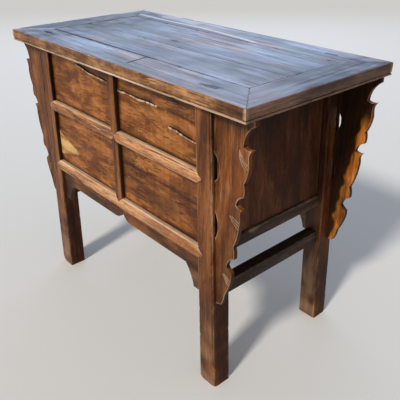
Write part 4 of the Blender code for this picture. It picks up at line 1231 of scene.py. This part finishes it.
# Rails of the ends, with their wood, darkened as painted shade, and their marks
END_RAILS = [("end_top_rail_", PAINTED_SHADE_WOOD, shaded_under_top), ("end_rail_", END_RAIL_SHADE_WOOD, pale_spot),
             ("end_stretcher_", END_RAIL_SHADE_WOOD, shaded_upper_side)]


def dress_ends():
    for end in ENDS:
        for part, wood, mark in END_RAILS:
            dress(part + end, Y, wood, step=0.011, lean=0.02, shortest=0.08, shapes=[mark])
        dress("end_panel_" + end, Z, PAINTED_SHADE_WOOD, step=0.011, worn=False, dirty=True,
              shapes=[shaded_under_top, dark_front_half])


def dress_inside():
    dress("floor_board", X, BARE_WOOD, step=0.03)
    for part in ("left", "centre", "right"):
        dress("drawer_runner_" + part, Y, BARE_WOOD, step=0.03)


def dress_drawers():
    for end in ENDS:
        dress(f"drawer_{end}_front", X, PANEL_WOOD, step=0.010, lean=0.08, shortest=0.1)
        for part, along in (("side_outer", Y), ("side_inner", Y), ("back", X), ("bottom", X)):
            dress(f"drawer_{end}_{part}", along, BARE_WOOD, step=0.02, ease=0.0008)


def dress_pulls():
    for end in ENDS:
        for part in ("plate", "eye", "drop"):
            node = f"pull_{end}_{part}"
            piece = copy_node(node)
            soften(piece, width=0.0005, shortest=0.0)
            piece.data.materials.append(BRASS)
            finish_piece(piece, node)


dress_top()
dress_legs()
dress_spandrels()
dress_faces()
dress_panels()
dress_ends()
dress_inside()
dress_drawers()
dress_pulls()


# Floor, light and camera

FLOOR_SIZE = 60.0
FLOOR_COLOUR = (0.78, 0.77, 0.75)
SKY_COLOUR = (0.88, 0.93, 1.00)
SKY_STRENGTH = 0.36
BACKDROP_COLOUR = (0.46, 0.50, 0.57)

CAMERA_PLACE = Vector((-1.2377, 1.0029, 1.2056))
CAMERA_YAW = math.atan2(-0.7539, -0.6570)
CAMERA_PITCH = math.radians(61.43)
CAMERA_ROLL = math.radians(-0.48)
CAMERA_LENS = 49.32
SENSOR = 36.0


def lay_floor():
    bpy.ops.object.select_all(action="DESELECT")
    bpy.ops.mesh.primitive_plane_add(size=FLOOR_SIZE, location=(0, 0, 0))
    floor = bpy.context.active_object
    floor.name = "studio_floor"
    bench = Bench(bpy.data.materials.new("studio_floor"))
    floor.data.materials.append(bench.finish({
        "Base Color": solid(FLOOR_COLOUR), "Roughness": 0.9}))


def light_world():
    """A pale sky that lights the scene, and a darker backdrop that the camera and the glossy top see."""
    bench = Bench(bpy.data.worlds.new("studio"), "ShaderNodeOutputWorld")
    rays = bench.put("ShaderNodeLightPath").outputs
    mirrored = bench.math("MAXIMUM", rays["Is Glossy Ray"], rays["Is Transmission Ray"])
    shown = bench.math("MAXIMUM", rays["Is Camera Ray"], mirrored)
    sky = bench.put("ShaderNodeBackground", {"Color": solid(SKY_COLOUR), "Strength": SKY_STRENGTH})
    backdrop = bench.put("ShaderNodeBackground", {"Color": solid(BACKDROP_COLOUR)})
    bpy.context.scene.world = bench.finish({
        0: shown, 1: sky.outputs["Background"], 2: backdrop.outputs["Background"]}, "ShaderNodeMixShader")


def hang_lamp(kind, name, place, target, **settings):
    bpy.ops.object.select_all(action="DESELECT")
    bpy.ops.object.light_add(type=kind, location=place)
    lamp = bpy.context.active_object
    lamp.name = name
    for setting, value in settings.items():
        setattr(lamp.data, setting, value)
    lamp.rotation_euler = (Vector(target) - Vector(place)).to_track_quat("-Z", "Y").to_euler()


def stand_camera():
    data = bpy.data.cameras.new("photo_camera")
    data.lens = CAMERA_LENS
    data.sensor_width = SENSOR
    camera = bpy.data.objects.new("photo_camera", data)
    bpy.context.scene.collection.objects.link(camera)
    turn = Matrix.Rotation(CAMERA_YAW, 4, "Z") @ Matrix.Rotation(CAMERA_PITCH, 4, "X")
    turn = turn @ Matrix.Rotation(CAMERA_ROLL, 4, "Z")
    camera.matrix_world = Matrix.Translation(CAMERA_PLACE) @ turn
    bpy.context.scene.camera = camera


bpy.context.scene.view_settings.view_transform = "Standard"
lay_floor()
light_world()
hang_lamp("SUN", "key_light", place=(-0.66, 2.73, 2.40), target=(0, 0, 0),
          energy=2.3, angle=math.radians(8), color=(1.0, 0.95, 0.87))
hang_lamp("AREA", "back_softbox", place=(3.2, -2.8, 2.9), target=(0, 0, 0.8),
          shape="RECTANGLE", size=4.6, size_y=3.2, energy=54, color=(0.52, 0.68, 1.0))
stand_camera()
